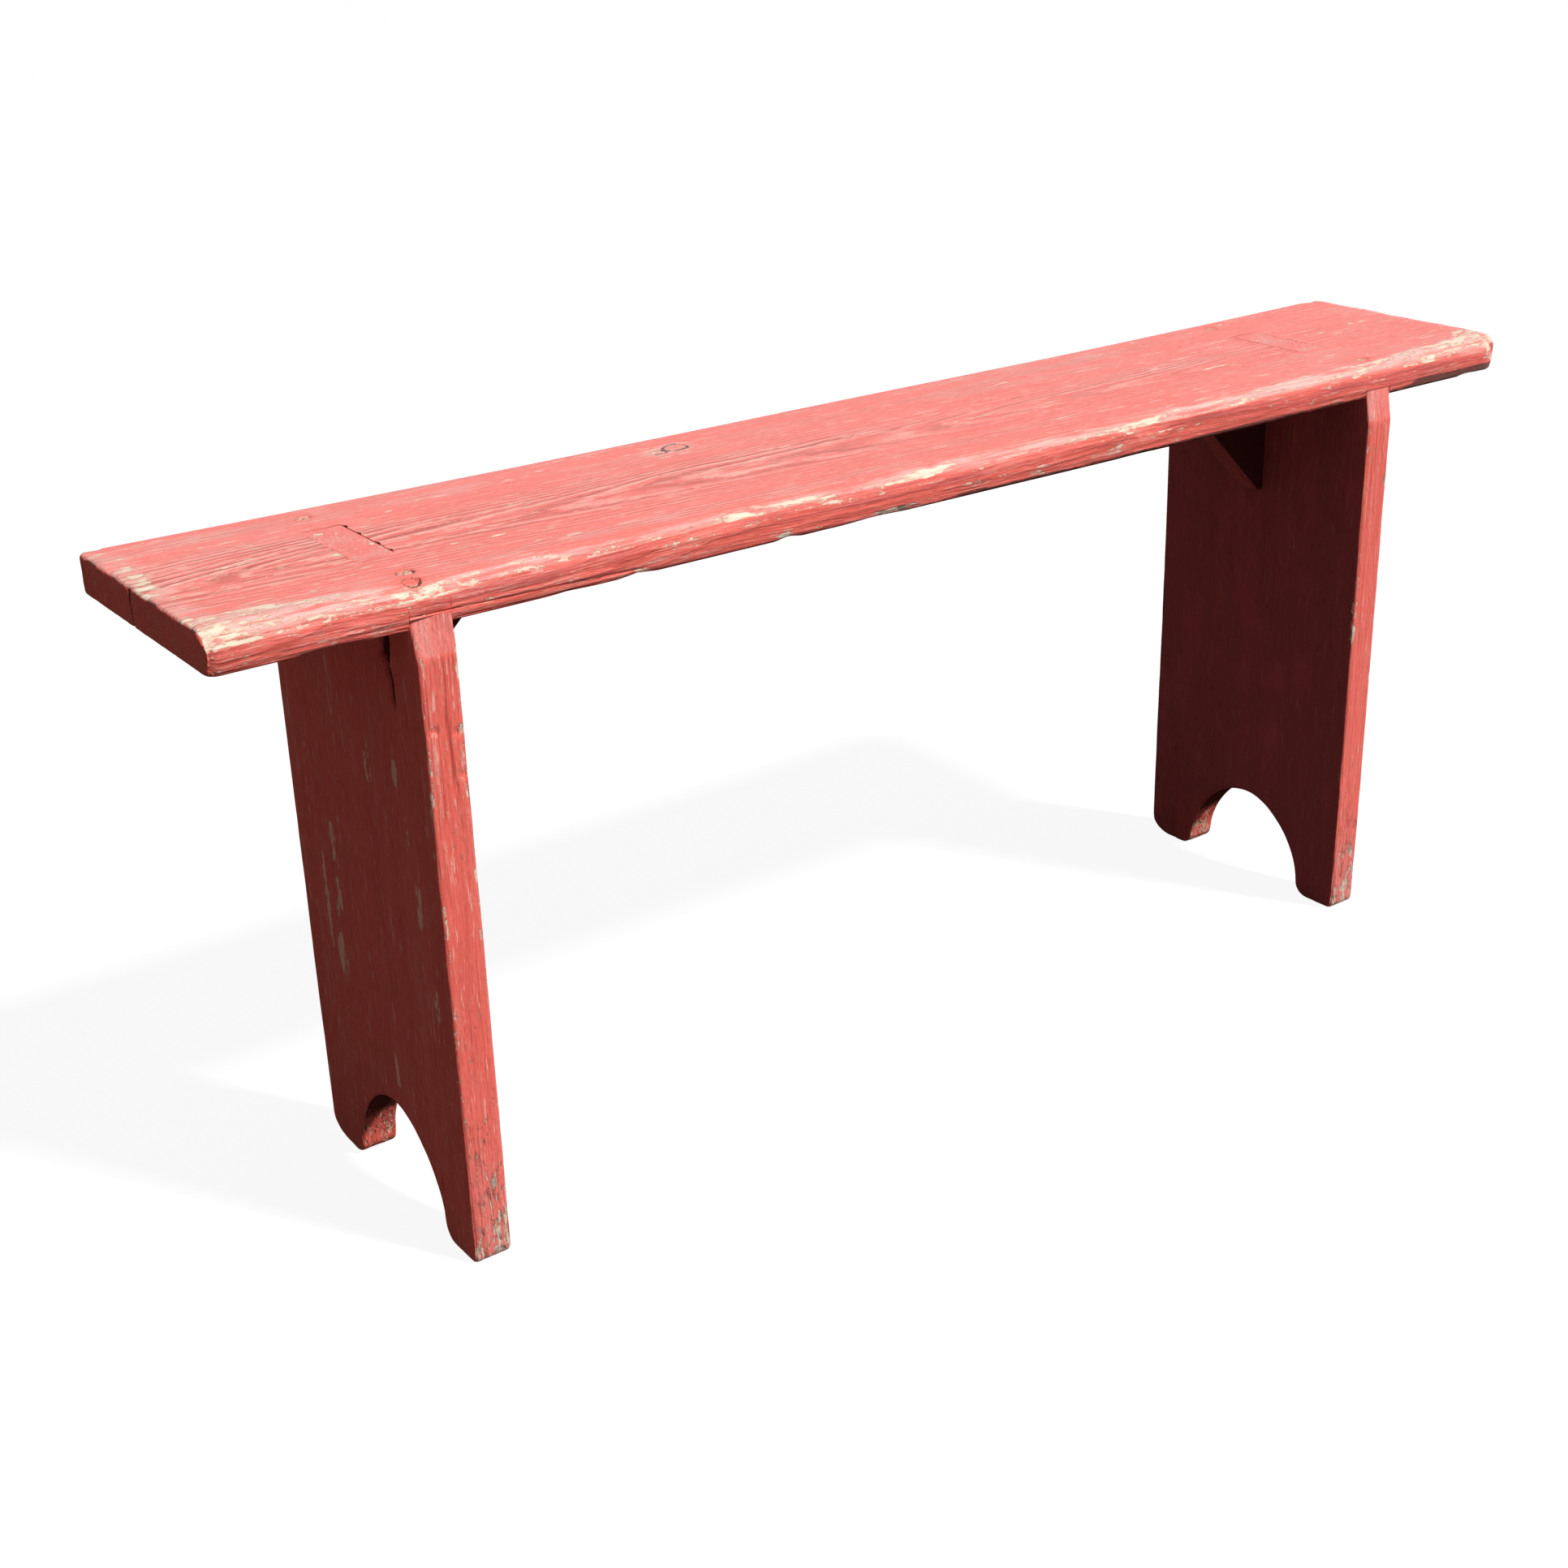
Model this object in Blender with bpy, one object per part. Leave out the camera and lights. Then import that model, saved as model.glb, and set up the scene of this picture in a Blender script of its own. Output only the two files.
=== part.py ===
"""A painted plank bench: one seat board on two board legs.

Each leg stands in a housing across the seat's underside and carries a tenon that comes through
the seat. Nails through the seat hold its shoulders, and a triangular brace is nailed into the
corner between its inner face and the seat.

Lengths are in metres. +X runs to the right end of the seat, +Y to the back and +Z up.
The origin is on the floor under the middle of the seat.
"""

import math

import bpy
from mathutils import Matrix, Vector

# Seat board
SEAT_LENGTH = 1.075
SEAT_WIDTH = 0.203
SEAT_THICKNESS = 0.0255
SEAT_HEIGHT = 0.450
FRONT_EDGE_ROUND = 0.018
BACK_EDGE_ROUND = 0.013
BACK_EDGE_WEAR = 0.011
END_EDGE_ROUND = 0.003
LOWER_EDGE_ROUND = 0.003
FRONT_LEFT_CORNER = 0.008
FRONT_RIGHT_CORNER = 0.022
BACK_RIGHT_CORNER = 0.022
BACK_LEFT_CORNER = 0.018

# Legs, whose edges stand a little proud of the seat's
LEG_PROUD = 0.002
LEG_THICKNESS = 0.026
LEFT_OVERHANG = 0.120
RIGHT_OVERHANG = 0.1325
LEG_EDGE_ROUND = 0.0025
TOP_TAPER_HEIGHT = 0.018
FRONT_FOOT_ROUND = 0.005
BACK_FOOT_ROUND = 0.021
BACK_FOOT_ROUND_HEIGHT = 0.014
ARCH_WIDTH = 0.122
ARCH_HEIGHT = 0.072
ARCH_SHIFT = -0.004
ARCH_TOE_ROUND = 0.011

# Joint between a leg and the seat
HOUSING_DEPTH = 0.007
TENON_WIDTH = 0.072
TENON_SHIFT = 0.003
TENON_SINK = 0.0005
JOINT_EDGE_ROUND = 0.0004
FIT_GAP = 0.0003

# Braces
BRACE_RUN = 0.090
BRACE_DROP = 0.090
BRACE_TIP = 0.004
BRACE_THICKNESS = 0.020
BRACE_SHIFT = 0.008
BRACE_EDGE_ROUND = 0.0015

# Nails. A seat nail's two shares are its place across the leg's thickness, from the middle, and
# along the shoulder, from the seat's edge. A brace nail's is its place along the run or the drop.
SEAT_NAIL_LENGTH = 0.055
SEAT_NAIL_SHANK = 0.0018
SEAT_NAIL_HEAD = 0.0045
SEAT_NAIL_SINK = 0.0006
BRACE_NAIL_LENGTH = 0.040
BRACE_NAIL_SHANK = 0.0013
BRACE_NAIL_HEAD = 0.0030
NAIL_HEAD_THICKNESS = 0.0012
NAIL_POINT = 0.005
NAIL_TIP_SHARE = 0.25
LEFT_FRONT_NAIL_SHARES = ((-0.16, 0.22), (0.0, 0.45))
LEFT_BACK_NAIL_SHARES = ((0.06, 0.50),)
RIGHT_FRONT_NAIL_SHARES = ((0.08, 0.33),)
RIGHT_BACK_NAIL_SHARES = ((-0.10, 0.46),)
BRACE_NAIL_SHARE = 0.69

# How far a cutter runs past the face that it opens
OVERRUN = 0.020

# Exponent of the arch's outline: 2 is an ellipse, and less is more pointed
ARCH_ROUNDNESS = 1.9

# The most of its foot's width that one rounded corner may take, and the least cosine that a
# miter is worked out with
CORNER_LIMIT_SHARE = 0.48
MITER_LIMIT_SHARE = 0.5

# Faces that meet at more than this many degrees show an edge
SHARP_ANGLE = 35

# Steps along curves
CORNER_STEPS = 5
LONG_EDGE_STEPS = 12
EDGE_STEPS = 3
TOP_ROUND_STEPS = 7
ARCH_STEPS = 22
TOE_STEPS = 4
NAIL_SIDES = 12

PAINT_RED = (0.42, 0.065, 0.055)
PAINT_RED_SHADE = (0.33, 0.045, 0.040)
IRON_BROWN = (0.12, 0.075, 0.055)

SEAT_UNDERSIDE = SEAT_HEIGHT - SEAT_THICKNESS
SHOULDER_HEIGHT = SEAT_UNDERSIDE + HOUSING_DEPTH - FIT_GAP
TENON_FRONT = TENON_SHIFT - TENON_WIDTH / 2
TENON_BACK = TENON_SHIFT + TENON_WIDTH / 2
LEFT_LEG_CENTRE = -SEAT_LENGTH / 2 + LEFT_OVERHANG + LEG_THICKNESS / 2
RIGHT_LEG_CENTRE = SEAT_LENGTH / 2 - RIGHT_OVERHANG - LEG_THICKNESS / 2


def clear_scene():
    """Remove every object that the opened file brought along."""
    for thing in list(bpy.data.objects):
        bpy.data.objects.remove(thing, do_unlink=True)


def finish(name, colour, roughness, metallic=0.0):
    """A Principled BSDF material of one colour."""
    material = bpy.data.materials.new(name)
    material.use_nodes = True
    shader = material.node_tree.nodes["Principled BSDF"]
    shader.inputs["Base Color"].default_value = (*colour, 1.0)
    shader.inputs["Roughness"].default_value = roughness
    shader.inputs["Metallic"].default_value = metallic
    return material


def add_object(name, points, faces, material=None):
    """Link a new smooth-shaded object that holds one mesh of the given points and faces."""
    mesh = bpy.data.meshes.new(name)
    mesh.from_pydata(points, [], faces)
    mesh.validate()
    mesh.shade_smooth()
    mesh.set_sharp_from_angle(angle=math.radians(SHARP_ANGLE))
    thing = bpy.data.objects.new(name, mesh)
    bpy.context.collection.objects.link(thing)
    if material is None:
        thing.hide_render = True
        thing.display_type = "WIRE"
    else:
        mesh.materials.append(material)
    return thing


def cut(thing, cutter):
    """Add a cutter to those that one Boolean takes out of an object."""
    modifier = thing.modifiers.get("cuts")
    if modifier is None:
        modifier = thing.modifiers.new("cuts", "BOOLEAN")
        modifier.operation = "DIFFERENCE"
        modifier.solver = "EXACT"
        modifier.operand_type = "COLLECTION"
        modifier.collection = bpy.data.collections.new("cuts_" + thing.name)
    modifier.collection.objects.link(cutter)


def arc(centre_u, centre_v, radius_u, radius_v, start, end, steps):
    """Points of an elliptical arc between two angles in degrees, both ends included."""
    angles = [math.radians(start + (end - start) * step / steps) for step in range(steps + 1)]
    return [(centre_u + radius_u * math.cos(a), centre_v + radius_v * math.sin(a)) for a in angles]


def stacked_faces(ring_size, ring_count):
    """Triangles between rings that follow each other, closed by one face at either end."""
    faces = [tuple(reversed(range(ring_size)))]
    for ring in range(ring_count - 1):
        for corner in range(ring_size):
            following = (corner + 1) % ring_size
            low, high = ring * ring_size, (ring + 1) * ring_size
            faces.append((low + corner, low + following, high + following))
            faces.append((low + corner, high + following, high + corner))
    faces.append(tuple(range((ring_count - 1) * ring_size, ring_count * ring_size)))
    return faces


def rounding_drop(distance, radius):
    """How far a rounded edge lies below the flat it leaves, at a distance in from the edge."""
    within = max(0.0, radius - distance)
    return radius - math.sqrt(max(0.0, radius**2 - within**2))


def edge_inset(height, upper_round, lower_round):
    """How far the seat's side stands back from its widest line at a height above the underside."""
    upper_round = min(upper_round, SEAT_THICKNESS - lower_round)
    return rounding_drop(SEAT_THICKNESS - height, upper_round) + rounding_drop(height, lower_round)


def back_round(x):
    """The radius of the seat's upper back edge, which is worn most at mid-length."""
    share = min(1.0, abs(x) / (SEAT_LENGTH / 2))
    return BACK_EDGE_ROUND + BACK_EDGE_WEAR * (1 - share**2)


def seat_ring(height):
    """One level of the seat: a rectangle with four rounded corners, anticlockwise from above."""
    end = SEAT_LENGTH / 2 - edge_inset(height, END_EDGE_ROUND, LOWER_EDGE_ROUND)
    front = -SEAT_WIDTH / 2 + edge_inset(height, FRONT_EDGE_ROUND, LOWER_EDGE_ROUND)
    back_end = SEAT_WIDTH / 2 - edge_inset(height, BACK_EDGE_ROUND, LOWER_EDGE_ROUND)
    left, right, r = FRONT_LEFT_CORNER, FRONT_RIGHT_CORNER, CORNER_STEPS
    ring = arc(-end + left, front + left, left, left, 180, 270, r)
    span = 2 * end - left - right
    ring += [(-end + left + span * k / LONG_EDGE_STEPS, front) for k in range(1, LONG_EDGE_STEPS)]
    ring += arc(end - right, front + right, right, right, 270, 360, r)
    left, right = BACK_LEFT_CORNER, BACK_RIGHT_CORNER
    ring += arc(end - right, back_end - right, right, right, 0, 90, r)
    span = 2 * end - left - right
    for k in range(1, LONG_EDGE_STEPS):
        x = end - right - span * k / LONG_EDGE_STEPS
        ring.append((x, SEAT_WIDTH / 2 - edge_inset(height, back_round(x), LOWER_EDGE_ROUND)))
    ring += arc(-end + left, back_end - left, left, left, 90, 180, r)
    return [(x, y, height) for x, y in ring]


def make_seat(material):
    """The seat board, stacked from level outlines whose sides follow the rounded edges."""
    levels = []
    for step in range(EDGE_STEPS + 1):
        angle = math.radians(90 * step / EDGE_STEPS)
        levels.append(LOWER_EDGE_ROUND * (1 - math.cos(angle)))
    largest = min(BACK_EDGE_ROUND + BACK_EDGE_WEAR, SEAT_THICKNESS - LOWER_EDGE_ROUND)
    for step in range(1, TOP_ROUND_STEPS + 1):
        angle = math.radians(90 * step / TOP_ROUND_STEPS)
        levels.append(SEAT_THICKNESS - largest * (1 - math.sin(angle)))
    rings = [seat_ring(level) for level in levels]
    points = [point for ring in rings for point in ring]
    seat = add_object("seat_board", points, stacked_faces(len(rings[0]), len(rings)), material)
    seat.location = (0, 0, SEAT_UNDERSIDE)
    return seat


def outward(outline, index):
    """The miter direction at an outline's corner, long enough to offset both sides by one."""
    before = Vector(outline[index - 1][:2])
    here = Vector(outline[index][:2])
    after = Vector(outline[(index + 1) % len(outline)][:2])
    first = (here - before).normalized()
    second = (after - here).normalized()
    normal = Vector((first.y + second.y, -first.x - second.x)).normalized()
    return normal / max(MITER_LIMIT_SHARE, normal.dot(Vector((first.y, -first.x))))


def make_board(name, outline, thickness, material):
    """A board cut to an outline and worn round along its edges.

    The outline is anticlockwise in the board's own X and Z, each point with the radius of the
    edge there. The thickness lies along the board's own Y.
    """
    directions = [outward(outline, index) for index in range(len(outline))]
    rings = []
    for side in (-1, 1):
        half = []
        for step in range(EDGE_STEPS + 1):
            angle = math.radians(90 * step / EDGE_STEPS)
            ring = []
            for (u, v, edge), direction in zip(outline, directions):
                inset = edge * (1 - math.cos(angle))
                depth = side * (thickness / 2 - edge * (1 - math.sin(angle)))
                ring.append((u - direction.x * inset, depth, v - direction.y * inset))
            half.append(ring)
        rings += half if side > 0 else half[::-1]
    faces = [tuple(reversed(face)) for face in stacked_faces(len(outline), len(rings))]
    points = [point for ring in rings for point in ring]
    return add_object(name, points, faces, material)


def leg_outline():
    """The leg seen from the seat's end, from its front foot round to its front edge."""
    side = SEAT_WIDTH / 2 + LEG_PROUD
    tongue = SEAT_WIDTH / 2 - LOWER_EDGE_ROUND
    taper = SEAT_UNDERSIDE - TOP_TAPER_HEIGHT
    power = 2 / ARCH_ROUNDNESS
    front_limit = (side - ARCH_WIDTH / 2 + ARCH_SHIFT) * CORNER_LIMIT_SHARE
    back_limit = (side - ARCH_WIDTH / 2 - ARCH_SHIFT) * CORNER_LIMIT_SHARE
    toe_round = min(ARCH_TOE_ROUND, front_limit, back_limit)
    front_round = min(FRONT_FOOT_ROUND, front_limit)
    back_foot = min(BACK_FOOT_ROUND, back_limit)
    start = math.degrees(math.asin((toe_round / ARCH_HEIGHT) ** (1 / power)))
    toe = ARCH_WIDTH / 2 * math.cos(math.radians(start)) ** power
    front = arc(-side + front_round, front_round, front_round, front_round, 180, 270, TOE_STEPS)
    inner = ARCH_SHIFT - toe - toe_round
    inner_front = arc(inner, toe_round, toe_round, toe_round, 270, 360, TOE_STEPS)
    arch = []
    for step in range(1, ARCH_STEPS):
        angle = math.radians(180 - start + (2 * start - 180) * step / ARCH_STEPS)
        reach = math.copysign(abs(math.cos(angle)) ** power, math.cos(angle))
        arch.append((ARCH_SHIFT + ARCH_WIDTH / 2 * reach, ARCH_HEIGHT * math.sin(angle) ** power))
    inner = ARCH_SHIFT + toe + toe_round
    inner_back = arc(inner, toe_round, toe_round, toe_round, 180, 270, TOE_STEPS)
    height = BACK_FOOT_ROUND_HEIGHT
    back = arc(side - back_foot, height, back_foot, height, 270, 360, TOE_STEPS)
    worn = front + inner_front + arch + inner_back + back + [(side, taper)]
    crisp = [
        (tongue, SHOULDER_HEIGHT),
        (TENON_BACK, SHOULDER_HEIGHT),
        (TENON_BACK, SEAT_HEIGHT - TENON_SINK),
        (TENON_FRONT, SEAT_HEIGHT - TENON_SINK),
        (TENON_FRONT, SHOULDER_HEIGHT),
        (-tongue, SHOULDER_HEIGHT),
    ]
    outline = [(u, v, LEG_EDGE_ROUND) for u, v in worn]
    outline += [(u, v, JOINT_EDGE_ROUND) for u, v in crisp]
    return outline + [(-side, taper, LEG_EDGE_ROUND)]


def make_leg(name, centre, material):
    """A board leg, turned so that its outline stands across the seat."""
    leg = make_board(name, leg_outline(), LEG_THICKNESS, material)
    leg.location = (centre, 0, 0)
    leg.rotation_euler = (0, 0, math.radians(90))
    return leg


def make_socket(name, centre):
    """The cutter for one leg's joint in the seat: the housing and the mortise above it."""
    past = SEAT_WIDTH / 2 + OVERRUN
    shoulder = SHOULDER_HEIGHT + FIT_GAP
    outline = [
        (-past, SEAT_UNDERSIDE - OVERRUN),
        (past, SEAT_UNDERSIDE - OVERRUN),
        (past, shoulder),
        (TENON_BACK + FIT_GAP, shoulder),
        (TENON_BACK + FIT_GAP, SEAT_HEIGHT + OVERRUN),
        (TENON_FRONT - FIT_GAP, SEAT_HEIGHT + OVERRUN),
        (TENON_FRONT - FIT_GAP, shoulder),
        (-past, shoulder),
    ]
    half = LEG_THICKNESS / 2 + FIT_GAP
    points = [(u, depth, v) for depth in (-half, half) for u, v in outline]
    faces = [tuple(reversed(face)) for face in stacked_faces(len(outline), 2)]
    socket = add_object(name, points, faces)
    socket.location = (centre, 0, 0)
    socket.rotation_euler = (0, 0, math.radians(90))
    return socket


def make_brace(name, leg_face, side, material):
    """A triangular brace in the corner of the seat's underside and a leg's inner face.

    side is 1 where the leg is to the brace's right, and -1 where it is to its left.
    """
    outline = [
        (0, 0, JOINT_EDGE_ROUND),
        (-BRACE_RUN, 0, JOINT_EDGE_ROUND),
        (-BRACE_RUN, -BRACE_TIP, BRACE_EDGE_ROUND),
        (-BRACE_TIP, -BRACE_DROP, BRACE_EDGE_ROUND),
        (0, -BRACE_DROP, JOINT_EDGE_ROUND),
    ]
    brace = make_board(name, outline, BRACE_THICKNESS, material)
    brace.location = (leg_face - side * FIT_GAP, BRACE_SHIFT, SEAT_UNDERSIDE - FIT_GAP)
    brace.rotation_euler = (0, 0, 0 if side > 0 else math.radians(180))
    return brace


def nail_profile(length, shank, head, grow, past):
    """Radius and depth down a nail, with its head's top at zero.

    grow makes it larger all round for its hole, and past lets the hole run out over the head.
    """
    under_head = -NAIL_HEAD_THICKNESS - grow
    return [
        (head + grow, past),
        (head + grow, under_head),
        (shank + grow, under_head),
        (shank + grow, NAIL_POINT - length),
        (shank * NAIL_TIP_SHARE + grow, -length - grow),
    ]


def nail_shape(places, profile):
    """Points and faces of one profile turned about each place's head point and direction."""
    points, faces = [], []
    for head_point, direction in places:
        turn = Vector((0, 0, -1)).rotation_difference(direction).to_matrix().to_4x4()
        place = Matrix.Translation(head_point) @ turn
        first = len(points)
        for radius, depth in reversed(profile):
            for side in range(NAIL_SIDES):
                angle = math.radians(360 * side / NAIL_SIDES)
                spot = Vector((radius * math.cos(angle), radius * math.sin(angle), depth))
                points.append(place @ spot)
        for face in stacked_faces(NAIL_SIDES, len(profile)):
            faces.append(tuple(first + index for index in face))
    return points, faces


def make_nails(name, places, sizes, material, woods):
    """Drive a nail at each place, each one an object, and cut its hole in the woods it holds."""
    for number, place in enumerate(places, 1):
        shape = nail_shape([place], nail_profile(*sizes, 0, 0))
        add_object(f"{name}_{number}", *shape, material)
    holes = add_object(name + "_holes", *nail_shape(places, nail_profile(*sizes, FIT_GAP, OVERRUN)))
    for wood in woods:
        cut(wood, holes)


def seat_nail_places(centre, front_shares, back_shares):
    """Head points of the nails down through the seat into one leg's shoulders.

    Each head is sunk below the lowest point of the seat's surface above it.
    """
    shoulders = [
        (-1, TENON_FRONT + SEAT_WIDTH / 2, FRONT_EDGE_ROUND, front_shares),
        (1, SEAT_WIDTH / 2 - TENON_BACK, back_round(centre), back_shares),
    ]
    places = []
    for side, width, edge_round, shares in shoulders:
        for across, along in shares:
            distance = width * along
            sink = rounding_drop(distance - SEAT_NAIL_HEAD, edge_round) + SEAT_NAIL_SINK
            x = centre + LEG_THICKNESS * across
            y = side * (SEAT_WIDTH / 2 - distance)
            places.append((Vector((x, y, SEAT_HEIGHT - sink)), Vector((0, 0, -1))))
    return places


def brace_nail_places(leg_face, side):
    """Head points of one brace's nails: one across into the leg and one up into the seat.

    Both start in the sloping face, sunk by the head's radius so that the head lies in the wood.
    """
    low = BRACE_DROP * BRACE_NAIL_SHARE
    far = BRACE_RUN * BRACE_NAIL_SHARE
    slope = (BRACE_RUN - BRACE_TIP) / (BRACE_DROP - BRACE_TIP)
    across = BRACE_TIP + (BRACE_DROP - low) * slope - BRACE_NAIL_HEAD
    down = BRACE_TIP + (BRACE_RUN - far) / slope - BRACE_NAIL_HEAD
    into_leg = Vector((leg_face - side * across, BRACE_SHIFT, SEAT_UNDERSIDE - low))
    into_seat = Vector((leg_face - side * far, BRACE_SHIFT, SEAT_UNDERSIDE - down))
    return [(into_leg, Vector((side, 0, 0))), (into_seat, Vector((0, 0, 1)))]


def make_end(end, side, centre, nail_shares, seat, finishes):
    """One leg with its joint, nails and brace. side is 1 at the seat's right end, -1 at its left."""
    leg_face = centre - side * LEG_THICKNESS / 2
    leg = make_leg("leg_" + end, centre, finishes["leg"])
    brace = make_brace("brace_" + end, leg_face, side, finishes["brace"])
    cut(seat, make_socket("socket_" + end, centre))
    sizes = (SEAT_NAIL_LENGTH, SEAT_NAIL_SHANK, SEAT_NAIL_HEAD)
    places = seat_nail_places(centre, *nail_shares)
    make_nails("seat_nail_" + end, places, sizes, finishes["nail"], (seat, leg))
    sizes = (BRACE_NAIL_LENGTH, BRACE_NAIL_SHANK, BRACE_NAIL_HEAD)
    places = brace_nail_places(leg_face, side)
    make_nails("brace_nail_" + end, places, sizes, finishes["nail"], (brace, leg, seat))


def main():
    clear_scene()
    finishes = {
        "seat": finish("seat_paint", PAINT_RED, 0.62),
        "leg": finish("leg_paint", PAINT_RED_SHADE, 0.66),
        "brace": finish("brace_paint", PAINT_RED_SHADE, 0.70),
        "nail": finish("nail_iron", IRON_BROWN, 0.70, metallic=0.6),
    }
    seat = make_seat(finishes["seat"])
    shares = (LEFT_FRONT_NAIL_SHARES, LEFT_BACK_NAIL_SHARES)
    make_end("left", -1, LEFT_LEG_CENTRE, shares, seat, finishes)
    shares = (RIGHT_FRONT_NAIL_SHARES, RIGHT_BACK_NAIL_SHARES)
    make_end("right", 1, RIGHT_LEG_CENTRE, shares, seat, finishes)


main()
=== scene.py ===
"""Worn red plank bench: weathered boards and old paint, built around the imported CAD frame."""

import math
from functools import partial

import bpy
import numpy as np
from mathutils import Matrix, Vector


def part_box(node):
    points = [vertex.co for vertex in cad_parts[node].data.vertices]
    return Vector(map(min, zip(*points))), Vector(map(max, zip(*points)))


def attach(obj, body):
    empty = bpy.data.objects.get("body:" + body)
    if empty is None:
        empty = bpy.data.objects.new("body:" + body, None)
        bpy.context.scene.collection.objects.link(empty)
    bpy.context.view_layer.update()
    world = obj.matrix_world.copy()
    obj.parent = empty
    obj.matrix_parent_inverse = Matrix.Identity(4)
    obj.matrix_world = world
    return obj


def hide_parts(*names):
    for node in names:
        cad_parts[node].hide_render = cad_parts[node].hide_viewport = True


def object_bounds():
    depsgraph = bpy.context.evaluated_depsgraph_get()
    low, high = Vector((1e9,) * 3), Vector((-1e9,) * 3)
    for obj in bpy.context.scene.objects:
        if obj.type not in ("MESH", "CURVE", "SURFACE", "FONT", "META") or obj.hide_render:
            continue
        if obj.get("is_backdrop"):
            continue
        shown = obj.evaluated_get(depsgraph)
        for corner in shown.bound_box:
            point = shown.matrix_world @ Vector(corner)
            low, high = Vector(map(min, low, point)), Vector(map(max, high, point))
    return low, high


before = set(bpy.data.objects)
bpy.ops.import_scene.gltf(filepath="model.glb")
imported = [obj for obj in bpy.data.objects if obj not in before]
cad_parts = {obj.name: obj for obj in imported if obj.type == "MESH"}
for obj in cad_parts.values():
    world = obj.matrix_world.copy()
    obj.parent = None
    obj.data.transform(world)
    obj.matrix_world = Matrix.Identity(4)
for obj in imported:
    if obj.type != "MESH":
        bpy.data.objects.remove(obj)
CAD_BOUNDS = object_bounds()

bl_info = {
    "name": "Worn Plank Bench",
    "version": (1, 0, 0),
    "blender": (4, 5, 0),
    "location": "3D View > Sidebar > Bench",
    "description": "Builds the weathered boards and the old paint of a plank bench",
    "category": "Add Mesh",
}

SEAT_LOW, SEAT_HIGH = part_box("seat_board")
LEG_BOXES = {side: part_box(f"leg_{side}") for side in ("left", "right")}
BRACE_BOXES = {side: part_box(f"brace_{side}") for side in ("left", "right")}
SEAT_NAILS = [name for name in sorted(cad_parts) if name.startswith("seat_nail")]
BRACE_NAILS = [name for name in sorted(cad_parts) if name.startswith("brace_nail")]
LEG_MIDDLE = {side: (low.x + high.x) / 2 for side, (low, high) in LEG_BOXES.items()}
LEG_HALF = (LEG_BOXES["left"][1].x - LEG_BOXES["left"][0].x) / 2
LEG_SIDE = LEG_BOXES["left"][1].y
TENON_TOP = SEAT_HIGH.z - 0.0001

MM = 0.001
HAIR = 0.15 * MM

# The legs' arches lie within this distance of the middle, and below this height.
ARCH_REACH, ARCH_TOP = 0.068, 0.08

# Place across the left leg where its grid is closer, for the crack there.
LEG_CRACK_Y = -0.064

# The tables below are in millimetres, but for the two shares at the end.
# "Along" is the seat's length, and "across" its width.

# Worn streaks on the left leg's outer face: place across and up, half width and half height.
LEFT_LEG_STREAKS = (
    (-19, 322, 4, 26),
    (-58, 325, 4, 13),
    (-66, 287, 4, 22),
    (-74, 243, 4.5, 24),
    (76, 303, 4, 22),
    (48, 242, 4.5, 22),
    (47, 202, 5, 24),
    (51, 160, 6, 24),
    (66, 190, 4, 50),
    (-84, 180, 3, 22),
    (-15, 100, 3, 18),
)

# Dents in the left leg's front edge: place along and up, and size.
LEG_DENTS = ((-411.5, 364, 5), (-396.5, 360, 5), (-394, 333, 6))

# Crack in the left leg's outer face: heights, places across and half widths.
LEG_CRACK = (
    (368, 374, 382, 388, 394, 400, 409),
    (-66.7, -66.6, -65.7, -65, -62.3, -60.2, -62.1),
    (0, 2.8, 3, 3.2, 4, 5.4, 5.6),
)

# Crack from the seat's left end to the left tenon: places along and across.
END_CRACK = ((-537.5, -480, -456, -432, -418), (9.7, 9.1, 7.5, 1.4, -0.6))

# Place across where that crack runs out through the seat's end.
END_SPLIT = 9.5

# Crack in the seat's front: places along, heights of its dirt, and heights of its groove.
FRONT_CRACK = (
    (-430, -410, -360, -310, -260, -250),
    (433, 432.4, 431.1, 430.4, 429.3, 428.5),
    (433, 432.457, 431.1, 430.4, 428.983, 428.7),
)

# The two rings of the knot in the top: place along and across, and radius.
KNOT_RINGS = ((-139.1, 53.4, 8.6), (-154.8, 50, 6.2))

# Places across where the left tenon's right-hand joint is packed with dirt, and half widths.
JOINT_DIRT = ((34.5, 4), (15.3, 3), (-9.7, 4), (-26.8, 3))

# Chips in the top's paint: place along and across, half length and half width.
TOP_CHIPS = (
    (-292, -71, 9, 1.7),
    (-328, -42.8, 9, 1.6),
    (-287, 9.2, 9, 1.5),
    (-335, -80, 10, 1.5),
    (-360, 44, 5, 3.5),
    (-381, 26.5, 5, 2),
    (-358, -40, 6, 1.8),
    (-381, -62.1, 7, 1.6),
    (-417, -15, 8, 3.5),
    (-418, -46.8, 8, 2.8),
    (-458, -15.4, 14, 1.5),
    (-482, 5, 16, 1.5),
    (-459, -69, 5, 3),
    (-528, 4, 7, 8),
    (-527, 24.4, 6, 6),
    (55, -19, 30, 1.4),
    (145, 45, 8, 1.4),
    (293, -24.4, 24, 1.4),
    (250, 43.1, 14, 1.4),
    (439, 4.2, 16, 1.5),
    (485, 10, 20, 1.6),
    (405, 76.9, 5, 2.2),
)

# The worn band on the seat's front edge: places along, and where it starts across.
BAND_TOP = (
    (-540, -500, -460, -420, -380, -180, -100, 0, 100, 200, 300, 400, 540),
    (-68, -70, -79, -88.5, -90, -90.5, -91, -88, -91.4, -89.7, -88.5, -85, -76),
)

# The same band: places along, and the heights where it ends.
BAND_LOW = (
    (-540, -400, -300, -200, 300, 420, 540),
    (438, 440.6, 442, 442.4, 442, 440.9, 439.8),
)

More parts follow.
